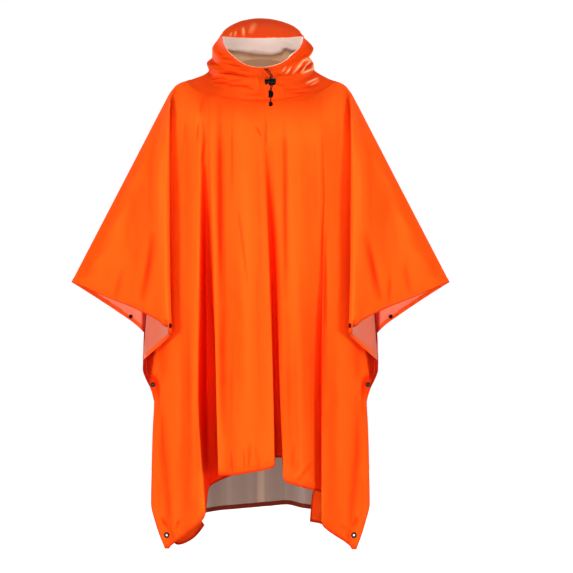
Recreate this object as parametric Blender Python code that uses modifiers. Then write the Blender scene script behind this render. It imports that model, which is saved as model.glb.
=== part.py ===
"""Rain poncho, worn by nobody: it keeps the hollow form of a standing figure with the arms held a little out.

Metres, +Z up, the front faces -Y. The origin is where the wearer holds it, at the height of the neck and
shoulders. Each cloth piece is an open surface lofted through its fold lines (or, for the hood, through rings),
and Solidify gives it its wall. A fold line is one crease from the shoulder or the neckline down to the hem.
"""

import math
from collections import namedtuple

import bmesh
import bpy
import numpy as np
from mathutils import Matrix, Vector
from mathutils.bvhtree import BVHTree

# ---------------------------------------------------------------- driving sizes
WALL = 0.0012                 # cloth wall
SEAM_GAP = 0.0006             # each piece stops this far from the middle of its seam
NECK_GAP = 0.0009             # and at the neckline, where the facets of hood and panels don't line up
TOUCH_GAP = 0.0003            # what lies on cloth keeps this far off it

RIDGE_Y = 0.004               # the shoulder and arm line, between front and back
NECK_HALF = 0.172             # half width of the neckline
SHOULDER = (0.217, -0.038)    # x, z of the shoulder's corner
TIP = (0.453, -0.495)         # x, z where the arm line meets the side edge
PLEAT_TOP_X = 0.205           # where the side pleat starts on the shoulder
CREASE_TOP_X = 0.2148         # where its outer crease starts
CHEST_Z, WAIST_Z, THIGH_Z = -0.15, -0.45, -0.75
PLEAT_END_Z = -0.681          # the pleat's inner fold meets the side edge here
CREASE_ROUND = (0.0078, 0.0140, 0.006)  # from the outer crease to where the wing lies flat again

PLEAT_OPENS = 2.2             # the crease has its whole rounding after 1 / this share of its length
RING_BEND = 1.25              # how the hood's rings bend: 1 is straight, 2 is round

SNAP_RADIUS = 0.0060
SNAP_CAP_HEIGHT = 0.0016
SNAP_CAP_TOP = 0.72           # share of the radius at the cap's top
SNAP_PART_HEIGHT = 0.0022
SNAP_PART_RADIUS = 0.0048     # sockets, studs and the mated parts
SNAP_PART_TOP = 0.85
EYELET_BORE = 0.0026          # radii of the grommets
EYELET_TUBE = 0.0034
EYELET_HOLE = 0.0040
EYELET_FLANGE = 0.0070
FLANGE_HEIGHT = 0.0008
CORD_RADIUS = 0.0013
PLUNGER_LENGTH = 0.0090
LOCK_LENGTH = 0.0180
LOCK_LEFT_SHARE = 0.4         # how much of the lock's body lies to the left of its middle

# ---------------------------------------------------------------- tables
# One row per fold line of a body panel, from the left side to the right: where it starts on the shoulder or
# neckline, and where it passes the chest, the waist, the thigh and the hem.
Fold = namedtuple("Fold", "name top_x chest_x waist_x thigh_x hem_x chest_y waist_y thigh_y hem_y hem_z")

FRONT_FOLDS = [
    Fold("side_layer_left", -0.1975, -0.212, -0.236, -0.238, -0.213, -0.058, -0.042, -0.034, -0.0558, -1.1230),
    Fold("side_crest_left", -0.1830, -0.183, -0.190, -0.210, -0.200, -0.078, -0.085, -0.070, -0.0664, -1.1120),
    Fold("side_lip_left", -0.1521, -0.142, -0.145, -0.145, -0.130, -0.108, -0.115, -0.105, -0.088, -1.0488),
    Fold("valley_left", -0.1379, -0.131, -0.129, -0.127, -0.125, -0.106, -0.062, -0.020, 0.010, -0.9915),
    Fold("valley_turn_left", -0.1236, -0.123, -0.117, -0.099, -0.065, -0.112, -0.080, -0.040, -0.015, -0.9562),
    Fold("centre_lip_left", -0.1142, -0.116, -0.109, -0.103, -0.098, -0.122, -0.135, -0.140, -0.135, -0.9516),
    Fold("centre_dip", -0.0905, -0.092, -0.087, -0.080, -0.073, -0.128, -0.143, -0.152, -0.150, -0.9508),
    Fold("centre_crest", -0.0407, -0.040, -0.035, -0.030, -0.026, -0.148, -0.168, -0.172, -0.170, -0.9433),
    Fold("centre_lip_right", 0.0043, 0.005, 0.020, 0.031, 0.035, -0.143, -0.155, -0.158, -0.155, -0.9288),
    Fold("gap", 0.0162, 0.016, 0.028, 0.034, 0.040, -0.139, -0.112, -0.088, -0.080, -0.9063),
    Fold("right_lip", 0.0304, 0.031, 0.038, 0.045, 0.053, -0.137, -0.130, -0.135, -0.135, -0.9618),
    Fold("right_crest", 0.0683, 0.066, 0.078, 0.090, 0.097, -0.136, -0.140, -0.137, -0.132, -0.9786),
    Fold("right_edge", 0.1276, 0.144, 0.142, 0.145, 0.149, -0.112, -0.106, -0.078, -0.062, -0.9979),
    Fold("right_turn", 0.1418, 0.151, 0.154, 0.161, 0.168, -0.106, -0.101, -0.088, -0.076, -1.0253),
    Fold("side_lip_right", 0.1536, 0.156, 0.149, 0.146, 0.146, -0.100, -0.113, -0.110, -0.100, -1.0657),
    Fold("side_crest_right", 0.1830, 0.184, 0.190, 0.210, 0.200, -0.078, -0.085, -0.070, -0.0664, -1.1120),
    Fold("side_layer_right", 0.1975, 0.212, 0.236, 0.238, 0.213, -0.058, -0.042, -0.034, -0.0558, -1.1230),
]

BACK_FOLDS = [
    Fold("wrap_edge_left", -0.2010, -0.225, -0.261, -0.240, -0.1655, 0.052, 0.062, 0.018, -0.044, -1.1102),
    Fold("wrap_left", -0.1990, -0.221, -0.255, -0.240, -0.1972, 0.060, 0.070, 0.036, -0.036, -1.1225),
    Fold("wrap_side_left", -0.1940, -0.209, -0.237, -0.234, -0.232, 0.076, 0.088, 0.070, 0.032, -1.0850),
    Fold("side_crest_left", -0.1800, -0.185, -0.200, -0.212, -0.208, 0.094, 0.112, 0.112, 0.106, -1.0720),
    Fold("side_dip_left", -0.1560, -0.156, -0.163, -0.172, -0.172, 0.108, 0.108, 0.098, 0.088, -1.0640),
    Fold("outer_crest_left", -0.1200, -0.116, -0.116, -0.122, -0.126, 0.124, 0.136, 0.142, 0.144, -1.0560),
    Fold("inner_dip_left", -0.0720, -0.070, -0.072, -0.076, -0.080, 0.131, 0.128, 0.120, 0.112, -1.0480),
    Fold("inner_crest_left", -0.0300, -0.026, -0.024, -0.026, -0.028, 0.139, 0.147, 0.152, 0.154, -1.0462),
    Fold("centre_dip", 0.0200, 0.020, 0.018, 0.016, 0.014, 0.138, 0.133, 0.124, 0.116, -1.0400),
    Fold("inner_crest_right", 0.0700, 0.068, 0.066, 0.064, 0.062, 0.136, 0.145, 0.152, 0.154, -1.0385),
    Fold("inner_dip_right", 0.1120, 0.108, 0.106, 0.106, 0.104, 0.126, 0.122, 0.114, 0.106, -1.0440),
    Fold("outer_crest_right", 0.1420, 0.144, 0.148, 0.150, 0.148, 0.116, 0.127, 0.130, 0.128, -1.0520),
    Fold("side_dip_right", 0.1660, 0.166, 0.172, 0.180, 0.180, 0.102, 0.102, 0.094, 0.084, -1.0620),
    Fold("side_crest_right", 0.1830, 0.188, 0.202, 0.214, 0.208, 0.092, 0.109, 0.110, 0.102, -1.0720),
    Fold("wrap_side_right", 0.1940, 0.209, 0.237, 0.234, 0.232, 0.076, 0.088, 0.070, 0.032, -1.0850),
    Fold("wrap_right", 0.1990, 0.221, 0.255, 0.240, 0.1950, 0.060, 0.070, 0.036, -0.036, -1.0980),
    Fold("wrap_edge_right", 0.2010, 0.225, 0.261, 0.240, 0.1650, 0.052, 0.062, 0.018, -0.042, -1.0800),
]

# The left side's edge: height and place of the pleat's inner fold and, below the pleat, of the cut edge, and
# how far inside it the next line lies. The right side is its mirror image down to its own lower end.
Edge = namedtuple("Edge", "z x y strip_x strip_y strip_z", defaults=(0.0,))

FRONT_EDGE = [
    Edge(CHEST_Z, -0.2350, -0.045, 0.007, 0.005),
    Edge(WAIST_Z, -0.2620, -0.050, 0.014, 0.012),
    Edge(PLEAT_END_Z, -0.2798, -0.030, 0.014, 0.010),
    Edge(-0.7050, -0.2818, -0.018, 0.017, 0.003),
    Edge(-0.7240, -0.2760, -0.008, 0.019, 0.000),
    Edge(-0.7430, -0.2670, -0.004, 0.019, 0.000),
    Edge(-0.7600, -0.2580, -0.006, 0.014, -0.004),
    Edge(-0.7800, -0.2545, -0.010, 0.011, -0.008),
    Edge(-0.8490, -0.2575, -0.018, 0.010, -0.010),
    Edge(-0.9200, -0.2593, -0.026, 0.010, -0.010),
    Edge(-1.0223, -0.2610, -0.036, 0.011, -0.009),
    Edge(-1.0696, -0.2502, -0.043, 0.010, -0.006),
    Edge(-1.1300, -0.2274, -0.050, 0.009, -0.0054),
]
FRONT_RIGHT_END = [Edge(-1.1318, -0.2288, -0.050, 0.009, -0.0054)]

BACK_EDGE = [
    Edge(CHEST_Z, -0.2320, 0.042, 0.004, 0.006),
    Edge(WAIST_Z, -0.2680, 0.048, 0.004, 0.008),
    Edge(PLEAT_END_Z, -0.2829, 0.020, 0.008, 0.008),
    Edge(-0.7050, -0.2825, 0.008, 0.017, 0.001),
    Edge(-0.7240, -0.2765, 0.003, 0.019, 0.000),
    Edge(-0.7430, -0.2670, 0.003, 0.019, 0.000),
    Edge(-0.7600, -0.2610, 0.003, 0.014, 0.000),
    Edge(-0.8000, -0.2500, 0.004, -0.002, 0.007),
    Edge(-0.8600, -0.2380, 0.000, -0.008, 0.006),
    Edge(-0.9300, -0.2190, -0.012, -0.012, 0.004),
    Edge(-1.0000, -0.1850, -0.028, -0.014, 0.002, -0.005),
    Edge(-1.0745, -0.1330, -0.045, -0.014, 0.000, -0.019),
]
BACK_RIGHT_END = [
    Edge(-0.9300, -0.1960, -0.018, -0.012, 0.004),
    Edge(-1.0000, -0.1240, -0.042, -0.018, 0.002),
    Edge(-1.0663, -0.1180, -0.046, -0.022, -0.0019, -0.004),
]

# The wing's side edge, between the pleat and the arm line's tip: where it hangs at each width.
Hang = namedtuple("Hang", "x z y")

FRONT_HANG = [
    Hang(-0.2300, -0.5930, -0.106),
    Hang(-0.2450, -0.5850, -0.101),
    Hang(-0.2845, -0.5634, -0.082),
    Hang(-0.3300, -0.5450, -0.062),
    Hang(-0.3731, -0.5279, -0.045),
    Hang(-0.4250, -0.5060, -0.016),
    Hang(-TIP[0], TIP[1], RIDGE_Y - SEAM_GAP),
]

BACK_HANG = [
    Hang(-0.2700, -0.6380, 0.094),
    Hang(-0.2831, -0.6299, 0.090),
    Hang(-0.2952, -0.6057, 0.086),
    Hang(-0.3211, -0.5846, 0.078),
    Hang(-0.3855, -0.5394, 0.048),
    Hang(-0.4380, -0.5045, 0.014),
    Hang(-TIP[0], TIP[1], RIDGE_Y + SEAM_GAP),
]

# The pleat's outer crease, from the shoulder to the side edge.
Crease = namedtuple("Crease", "z x y")

FRONT_CREASE = [
    Crease(CHEST_Z, -0.2155, -0.078),
    Crease(WAIST_Z, -0.2140, -0.100),
    Crease(-0.6201, -0.2095, -0.103),
]

BACK_CREASE = [
    Crease(CHEST_Z, -0.2220, 0.084),
    Crease(WAIST_Z, -0.2420, 0.112),
    Crease(-0.6450, -0.2600, 0.086),
]

# The hood's rings, from the neckline up to the edge of the face opening: half widths to the left and right,
# then how far forward and how high each passes the chin, the side and the back, and how the back rises.
Ring = namedtuple("Ring", "name left right chin_y side_y back_y chin_z side_z back_z back_power")

HOOD_RINGS = [
    Ring("neckline", NECK_HALF, NECK_HALF, -0.118, RIDGE_Y, 0.106, -0.066, -0.010, 0.048, 3.2),
    Ring("base", 0.136, 0.146, -0.124, -0.004, 0.116, -0.046, 0.002, 0.058, 2.6),
    Ring("lower_roll", 0.123, 0.129, -0.131, -0.008, 0.124, -0.030, 0.014, 0.070, 2.2),
    Ring("roll", 0.128, 0.127, -0.136, -0.012, 0.130, -0.018, 0.030, 0.086, 2.0),
    Ring("notch", 0.115, 0.117, -0.132, -0.016, 0.130, -0.006, 0.045, 0.104, 1.8),
    Ring("upper_roll", 0.115, 0.128, -0.130, -0.026, 0.112, 0.002, 0.064, 0.120, 1.6),
    Ring("crown_back", 0.104, 0.110, -0.129, -0.040, 0.070, 0.007, 0.080, 0.132, 1.4),
    Ring("crown", 0.096, 0.102, -0.128, -0.060, 0.004, 0.010, 0.088, 0.1375, 1.25),
    Ring("brim_top", 0.093, 0.102, -0.1275, -0.078, -0.068, 0.012, 0.090, 0.116, 1.25),
    Ring("opening", 0.0916, 0.1040, -0.127, -0.088, -0.106, 0.013, 0.090, 0.083, 1.25),
]

# Route of each drawcord end above the knot, from the hood's edge under the chin: x, y, z.
CORD_ABOVE_LOCK = {
    "left": ((0.0115, -0.1300, 0.0072), (0.0119, -0.1340, 0.0068), (0.0158, -0.1395, 0.0025),
             (0.0215, -0.1425, -0.0045), (0.0251, -0.1430, -0.0090), (0.0253, -0.1430, -0.0134)),
    "right": ((0.0155, -0.1298, 0.0080), (0.0159, -0.1340, 0.0078), (0.0200, -0.1395, 0.0038),
              (0.0255, -0.1425, -0.0035), (0.0284, -0.1430, -0.0090), (0.0285, -0.1430, -0.0134)),
}
CORD_BELOW_LOCK = {
    "left": ((0.0253, -0.1430, -0.0316), (0.0244, -0.1430, -0.0370), (0.0240, -0.1430, -0.0424)),
    "right": ((0.0285, -0.1430, -0.0316), (0.0278, -0.1430, -0.0370), (0.0270, -0.1430, -0.0424)),
}
CORD_TAIL = ((0.0250, -0.1430, -0.0608), (0.0249, -0.1430, -0.0650), (0.0250, -0.1430, -0.0692))
LOCK_CENTRE = Vector((0.0270, -0.1430, -0.0225))
LOCK_RADIUS = 0.0087
KNOT = (Vector((0.0250, -0.1430, -0.0516)), Vector((0.0068, 0.0056, 0.0089)))
END_KNOT = (Vector((0.0250, -0.1430, -0.0750)), Vector((0.0052, 0.0048, 0.0055)))

# Where each pair of snaps and grommets sits on the cloth: x of the right one, and z. The left one mirrors it.
BACK_SNAP = (0.3155, -0.5780)
FRONT_SNAP = (0.2137, -0.5980)
SHUT_SNAP = (0.2580, -0.7405)
FRONT_GROMMET = (0.2232, -1.0980)
BACK_GROMMET = (0.1600, -1.0550)

# Colours, roughness and metallic value of each material
Finish = namedtuple("Finish", "colour roughness metallic")

FINISHES = {
    "orange_cloth": Finish((1.0, 0.11, 0.008), 0.42, 0.0),
    "black_cord": Finish((0.012, 0.012, 0.013), 0.75, 0.0),
    "black_plastic": Finish((0.015, 0.015, 0.016), 0.4, 0.0),
    "dark_metal": Finish((0.06, 0.055, 0.055), 0.35, 1.0),
}

# Where the rows of a loft lie, as shares of the drop, and where its columns do
UPPER_ROWS = (0.0, 0.02, 0.06, 0.13, 0.23, 0.38, 0.58, 0.80, 1.0)
LOWER_ROWS = (0.06, 0.105, 0.15, 0.20, 0.36, 0.58, 0.78, 0.91, 1.0)
LAYER_SHARES = (0.3, 0.75)
WING_X = (-0.237, -0.265, -0.30, -0.34, -0.38, -0.415, -0.440)
HOOD_ROWS = 16
HOOD_COLUMNS = 9
CENTRE_EDGE_TOP = 106.0       # degrees round the hood, from the chin, to the centre strip's edge at the brim
CENTRE_EDGE_NAPE = 142.0      # and at the neckline
CHIN_SEAM = -5.0              # degrees to the seam under the chin


# ---------------------------------------------------------------- curves through the tables
def smooth(knots, values, at):
    """Monotone cubic through the values, so a fold line never swings past the places that its table gives."""
    knots, values = np.asarray(knots, float), np.asarray(values, float)
    if knots[0] > knots[-1]:
        knots, values = knots[::-1], values[::-1]
    steps = np.diff(knots)
    slopes = np.diff(values) / steps
    tangents = np.zeros(len(knots))
    tangents[0], tangents[-1] = slopes[0], slopes[-1]
    for i in range(1, len(knots) - 1):
        if slopes[i - 1] * slopes[i] > 0:
            before, after = 2 * steps[i] + steps[i - 1], steps[i] + 2 * steps[i - 1]
            tangents[i] = (before + after) / (before / slopes[i - 1] + after / slopes[i])
    at = np.clip(at, knots[0], knots[-1])
    i = np.clip(np.searchsorted(knots, at) - 1, 0, len(steps) - 1)
    t = (at - knots[i]) / steps[i]
    return ((1 + 2 * t) * (1 - t) ** 2 * values[i] + t * (1 - t) ** 2 * steps[i] * tangents[i]
            + t * t * (3 - 2 * t) * values[i + 1] + t * t * (t - 1) * steps[i] * tangents[i + 1])


def ridge_z(x):
    """Height of the shoulder and arm line."""
    corner_x, corner_z = SHOULDER
    arm_slope = (TIP[1] - corner_z) / (TIP[0] - corner_x)
    rounding = 0.004
    if abs(x) > corner_x + rounding:
        return corner_z + (abs(x) - corner_x) * arm_slope
    knots = (NECK_HALF, 0.190, 0.205, corner_x + rounding)
    heights = (HOOD_RINGS[0].side_z, -0.0155, -0.0245, corner_z + rounding * arm_slope)
    return float(smooth(knots, heights, max(abs(x), NECK_HALF)))


def ring_point(ring, degrees):
    """A point of a hood ring. 0 is the chin, 90 the left side, 180 the back and 270 the right side."""
    turn = math.radians(degrees)
    across, along = math.sin(turn), math.cos(turn)
    if along > 0:
        end_y, end_z, rise = ring.chin_y, ring.chin_z, RING_BEND
    else:
        end_y, end_z, rise = ring.back_y, ring.back_z, ring.back_power
    width = ring.left if across > 0 else ring.right
    return Vector((-width * across,
                   ring.side_y + (end_y - ring.side_y) * abs(along) ** RING_BEND,
                   ring.side_z + (end_z - ring.side_z) * abs(along) ** rise))


def top_point(x, side):
    """Where a fold line starts: on the neckline, or outside it on the shoulder line. side is -1 for the front."""
    if abs(x) < NECK_HALF:
        turn = math.degrees(math.asin(-x / NECK_HALF))
        return ring_point(HOOD_RINGS[0], turn if side < 0 else 180 - turn)
    return Vector((x, RIDGE_Y + side * SEAM_GAP, ridge_z(x)))


def arch_power(x):
    """How squarely cloth turns down from its top: softly below the neckline, roundly over the shoulder."""
    over_shoulder = min(max((abs(x) - 0.12) / 0.06, 0.0), 1.0)
    return 1.6 + 1.6 * over_shoulder


def falling_line(top, passes, drops):
    """A line from top through (z, x, y) passes, at shares of its drop. It arches into the first pass."""
    first = passes[0]
    depths = [(top.z, top.y)]
    for share in (0.12, 0.35, 0.65):
        rise = 1 - (1 - share) ** arch_power(top.x)
        depths.append((top.z + (first[0] - top.z) * share, top.y + (first[2] - top.y) * rise))
    depths += [(z, y) for z, x, y in passes]
    places = [(top.z, top.x)] + [(z, x) for z, x, y in passes]
    heights = top.z + (passes[-1][0] - top.z) * np.asarray(drops)
    xs = smooth([z for z, x in places], [x for z, x in places], heights)
    ys = smooth([z for z, y in depths], [y for z, y in depths], heights)
    return [Vector(p) for p in zip(xs, ys, heights)]


def between(lines, splits):
    """The lines with more of them put in between, on a smooth course across each row."""
    knots = np.arange(len(lines))
    at = [i + s / n for i, n in enumerate(splits) for s in range(n)] + [len(lines) - 1]
    rows = np.array([[tuple(p) for p in line] for line in lines])
    made = np.empty((len(at), rows.shape[1], 3))
    for r in range(rows.shape[1]):
        for axis in range(3):
            made[:, r, axis] = smooth(knots, rows[:, r, axis], at)
    return [[Vector(p) for p in line] for line in made]


def mirrored(line):
    return [Vector((-p.x, p.y, p.z)) for p in line]


# ---------------------------------------------------------------- cloth panels
def row_shares(corner_z):
    """Shares of the drop for a body panel's rows: those beside the pleat, then those below it."""
    top = ridge_z(PLEAT_TOP_X)
    pleat = (top - PLEAT_END_Z) / (top - corner_z)
    return [pleat * g for g in UPPER_ROWS] + [pleat + (1 - pleat) * h for h in LOWER_ROWS]


def edge_lines(edges, side, drops):
    """The pleat's inner fold with the cut edge below it, and the next line inside it."""
    strip_inset = 0.0025
    edge = [(e.z, e.x, e.y) for e in edges]
    strip = [(e.z + e.strip_z, e.x + e.strip_x, e.y + e.strip_y) for e in edges]
    return [falling_line(top_point(-PLEAT_TOP_X, side), edge, drops),
            falling_line(top_point(-PLEAT_TOP_X + strip_inset, side), strip, drops)]


def fold_line(fold, side, drops):
    passes = [(CHEST_Z, fold.chest_x, fold.chest_y),
              (WAIST_Z, fold.waist_x, fold.waist_y),
              (THIGH_Z, fold.thigh_x, fold.thigh_y),
              (fold.hem_z, fold.hem_x, fold.hem_y)]
    return falling_line(top_point(fold.top_x, side), passes, drops)


def body_lines(folds, edges, right_end, side):
    """A body panel's lines from its left edge to its right one."""
    drops = row_shares(edges[-1].z)
    left = edge_lines(edges, side, drops)
    right = [mirrored(line) for line in edge_lines(edges[:-len(right_end)] + right_end, side, drops)]
    return left + [fold_line(f, side, drops) for f in folds] + right[::-1]


def wing_line(x, hang, side):
    """A line of the wing, straight down from the arm line to the side edge."""
    top = top_point(x, side)
    end_z = float(smooth([h.x for h in hang], [h.z for h in hang], x))
    end_y = float(smooth([h.x for h in hang], [h.y for h in hang], x))
    reach = (abs(x) - SHOULDER[0]) / (TIP[0] - SHOULDER[0])
    power = 6.5 - 4.0 * reach
    return [Vector((x,
                    top.y + (end_y - top.y) * (1 - (1 - share) ** power),
                    top.z + (end_z - top.z) * share)) for share in UPPER_ROWS]


def wing_lines(inner_fold, crease, hang, side):
    """The pleat's middle layer and the wing, from the inner fold out to the tip, on the left."""
    fold = inner_fold[:len(UPPER_ROWS)]
    edge = falling_line(top_point(-CREASE_TOP_X, side), [tuple(c) for c in crease], UPPER_ROWS)
    layers = [[a.lerp(b, share) for a, b in zip(fold, edge)] for share in LAYER_SHARES]
    across, forward, up = CREASE_ROUND
    lip = [p + Vector((-across, side * forward, up)) * min(1.0, PLEAT_OPENS * share)
           for p, share in zip(edge, UPPER_ROWS)]
    lip[0] = top_point(-CREASE_TOP_X - across / 2, side)
    tip = [Vector((hang[-1].x, hang[-1].y, hang[-1].z))] * len(UPPER_ROWS)
    return [fold, *layers, edge, lip, *(wing_line(x, hang, side) for x in WING_X), tip]


def clear_neck_seam(lines):
    """Each line that starts at the neckline stops short of it by the seam's gap."""
    for line in lines:
        if abs(line[0].x) < NECK_HALF - NECK_GAP:
            line[0] = line[0] + (line[1] - line[0]).normalized() * NECK_GAP


def make_panel(name, folds, edges, right_end, crease, hang, side, splits):
    body = body_lines(folds, edges, right_end, side)
    left = wing_lines(body[0], crease, hang, side)
    right = [mirrored(line) for line in wing_lines(mirrored(body[-1]), crease, hang, side)]
    clear_neck_seam(body)
    return cloth(name, [between(body, splits), left, right])


def hood_rows():
    """Rings between the table's, evenly spread, with each outline number read from a smooth course."""
    knots = np.arange(len(HOOD_RINGS))
    at = np.linspace(0, len(HOOD_RINGS) - 1, HOOD_ROWS)
    columns = [smooth(knots, [getattr(r, f) for r in HOOD_RINGS], at) for f in Ring._fields[1:]]
    return [Ring(f"row_{i}", *(float(c[i]) for c in columns)) for i in range(HOOD_ROWS)]


def hood_piece(name, start, stop):
    """A piece of the hood between two courses round it, each (degrees at the neckline, degrees at the opening)."""
    rows = hood_rows()
    lines = []
    for c in range(HOOD_COLUMNS + 1):
        line = []
        for r, ring in enumerate(rows):
            climb = r / (len(rows) - 1)
            first = start[0] + (start[1] - start[0]) * climb
            last = stop[0] + (stop[1] - stop[0]) * climb
            inset = math.degrees(SEAM_GAP / (0.5 * (ring.left + ring.right)))
            line.append(ring_point(ring, (first + inset) + (last - first - 2 * inset) * c / HOOD_COLUMNS))
        line[0] = line[0] + (line[1] - line[0]).normalized() * NECK_GAP
        lines.append(line)
    return cloth(name, [lines])


def make_hood():
    chin = (CHIN_SEAM, CHIN_SEAM)
    left_edge = (CENTRE_EDGE_NAPE, CENTRE_EDGE_TOP)
    right_edge = (360 - CENTRE_EDGE_NAPE, 360 - CENTRE_EDGE_TOP)
    hood_piece("hood_left", chin, left_edge)
    hood_piece("hood_centre", left_edge, right_edge)
    hood_piece("hood_right", right_edge, (360 + CHIN_SEAM, 360 + CHIN_SEAM))


# ---------------------------------------------------------------- objects
def material(name):
    found = bpy.data.materials.get(name)
    if found:
        return found
    finish = FINISHES[name]
    found = bpy.data.materials.new(name)
    found.use_nodes = True
    shader = found.node_tree.nodes["Principled BSDF"]
    shader.inputs["Base Color"].default_value = (*finish.colour, 1.0)
    shader.inputs["Roughness"].default_value = finish.roughness
    shader.inputs["Metallic"].default_value = finish.metallic
    found.diffuse_color = (*finish.colour, 1.0)
    return found


def add_object(name, data, finish):
    data.materials.append(material(finish))
    obj = bpy.data.objects.new(name, data)
    poncho.objects.link(obj)
    return obj


def mesh_from(bm, name):
    mesh = bpy.data.meshes.new(name)
    bm.to_mesh(mesh)
    bm.free()
    return mesh


def cloth(name, grids):
    """One cloth piece from grids of lines that share their common fold lines."""
    bm = bmesh.new()
    for lines in grids:
        rows = [[bm.verts.new(p) for p in line] for line in lines]
        for a, b in zip(rows, rows[1:]):
            for i in range(len(a) - 1):
                bm.faces.new((a[i], a[i + 1], b[i + 1], b[i]))
    bmesh.ops.remove_doubles(bm, verts=bm.verts, dist=1e-5)
    bmesh.ops.recalc_face_normals(bm, faces=bm.faces)
    obj = add_object(name, mesh_from(bm, name), "orange_cloth")
    wall = obj.modifiers.new("wall", "SOLIDIFY")
    wall.thickness = WALL
    wall.offset = 0.0
    wall.use_even_offset = False
    return obj


# ---------------------------------------------------------------- snaps and grommets
def seat_on(panel, x, z, outward_y, radius=SNAP_RADIUS):
    """A seat on a panel's cloth for a round piece, straight behind x, z from the front: its middle, its normal
    towards outward_y, and how far the cloth bulges under the piece."""
    bm = bmesh.new()
    bm.from_mesh(panel.data)
    tree = BVHTree.FromBMesh(bm)
    bm.free()
    middle, facet_normal, _, _ = tree.ray_cast(Vector((x, -1.0, z)), Vector((0, 1, 0)))
    facet = facet_normal.to_track_quat("Z", "Y").to_matrix()
    places_round = 16
    under = []
    for reach in (0.35 * radius, 0.7 * radius, radius):
        for i in range(places_round):
            turn = math.tau * i / places_round
            reached = middle + facet @ Vector((reach * math.cos(turn), reach * math.sin(turn), 0))
            under.append(tree.find_nearest(reached)[0] - middle)
    normal = Vector(np.linalg.svd(np.array([tuple(p) for p in under]))[2][2])
    if normal.y * outward_y < 0:
        normal.negate()
    bulge = max(abs(p.dot(normal)) for p in under)
    return middle, normal, bulge


def frame_matrix(middle, normal):
    turn = normal.to_track_quat("Z", "Y")
    return Matrix.Translation(middle) @ turn.to_matrix().to_4x4()


def snap_part(name, middle, normal, base, height, radius, top_share):
    """A round snap part that stands on its base height above the middle, along the normal."""
    bm = bmesh.new()
    bmesh.ops.create_cone(bm, cap_ends=True, segments=20, radius1=radius, radius2=radius * top_share,
                          depth=height)
    bmesh.ops.translate(bm, vec=(0, 0, base + height / 2), verts=bm.verts)
    obj = add_object(name, mesh_from(bm, name), "dark_metal")
    obj.matrix_world = frame_matrix(middle, normal)
    return obj


def open_snap(panel, cap_name, part_name, x, z, outward_y):
    """A snap that stands open: its cap on the outer side and its socket or stud on the inner side."""
    middle, normal, bulge = seat_on(panel, x, z, outward_y)
    base = WALL / 2 + TOUCH_GAP + bulge
    snap_part(cap_name, middle, normal, base, SNAP_CAP_HEIGHT, SNAP_RADIUS, SNAP_CAP_TOP)
    snap_part(part_name, middle, -normal, base, SNAP_PART_HEIGHT, SNAP_PART_RADIUS, SNAP_PART_TOP)


def shut_snap(side_name, x, z):
    """The shut snap that holds front and back together: a cap on each, and the mated parts between them."""
    front_middle, front_normal, front_bulge = seat_on(front, x, z, -1)
    back_middle, back_normal, back_bulge = seat_on(back, x, z, 1)
    front_base = WALL / 2 + TOUCH_GAP + front_bulge
    back_base = WALL / 2 + TOUCH_GAP + back_bulge
    snap_part(f"snap_shut_front_{side_name}", front_middle, front_normal, front_base,
              SNAP_CAP_HEIGHT, SNAP_RADIUS, SNAP_CAP_TOP)
    snap_part(f"snap_shut_back_{side_name}", back_middle, back_normal, back_base,
              SNAP_CAP_HEIGHT, SNAP_RADIUS, SNAP_CAP_TOP)
    axis = (back_normal - front_normal).normalized()
    tilt = SNAP_PART_RADIUS * math.sin(max(axis.angle(-front_normal), axis.angle(back_normal)))
    height = (back_middle - front_middle).dot(axis) - front_base - back_base - 2 * tilt
    snap_part(f"snap_shut_core_{side_name}", front_middle, axis, front_base + tilt, height,
              SNAP_PART_RADIUS, 1.0)


def eyelet(panel, name, x, z, outward_y):
    """A grommet with its washer, rolled through a hole in the panel's corner."""
    middle, normal, bulge = seat_on(panel, x, z, outward_y, EYELET_FLANGE)
    half = WALL / 2 + TOUCH_GAP + bulge + FLANGE_HEIGHT
    under = half - FLANGE_HEIGHT
    profile = ((EYELET_FLANGE, half), (EYELET_FLANGE, under), (EYELET_TUBE, under), (EYELET_TUBE, -under),
               (EYELET_FLANGE, -under), (EYELET_FLANGE, -half), (EYELET_BORE, -half), (EYELET_BORE, half))
    mesh = bpy.data.meshes.new(name)
    edges = [(i, (i + 1) % len(profile)) for i in range(len(profile))]
    mesh.from_pydata([(r, 0, h) for r, h in profile], edges, [])
    obj = add_object(name, mesh, "dark_metal")
    turned = obj.modifiers.new("turned", "SCREW")
    turned.steps = turned.render_steps = 24
    turned.use_merge_vertices = True
    turned.merge_threshold = 0.0001
    obj.matrix_world = frame_matrix(middle, normal)

    bm = bmesh.new()
    bmesh.ops.create_cone(bm, cap_ends=True, segments=16, radius1=EYELET_HOLE, radius2=EYELET_HOLE, depth=0.02)
    cutter = bpy.data.objects.new(f"{name}_hole", mesh_from(bm, f"{name}_hole"))
    cutters.objects.link(cutter)
    cutter.matrix_world = frame_matrix(middle, normal)
    cutter.hide_render = True
    cutter.display_type = "WIRE"
    hole = panel.modifiers.new(f"{name}_hole", "BOOLEAN")
    hole.operation = "DIFFERENCE"
    hole.object = cutter


# ---------------------------------------------------------------- drawcord
def cord(name, route):
    """A cord tube along a smooth curve through the route's points."""
    steps = [0.0]
    for a, b in zip(route, route[1:]):
        steps.append(steps[-1] + (Vector(b) - Vector(a)).length)
    count = max(3, math.ceil(steps[-1] / (5 * CORD_RADIUS)) + 1)
    at = np.linspace(0, steps[-1], count)
    points = np.array([smooth(steps, [p[axis] for p in route], at) for axis in range(3)]).T
    curve = bpy.data.curves.new(name, "CURVE")
    curve.dimensions = "3D"
    curve.bevel_depth = CORD_RADIUS
    curve.bevel_resolution = 2
    curve.use_fill_caps = True
    spline = curve.splines.new("POLY")
    spline.points.add(len(points) - 1)
    for point, place in zip(spline.points, points):
        point.co = (*place, 1.0)
    return add_object(name, curve, "black_cord")


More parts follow.
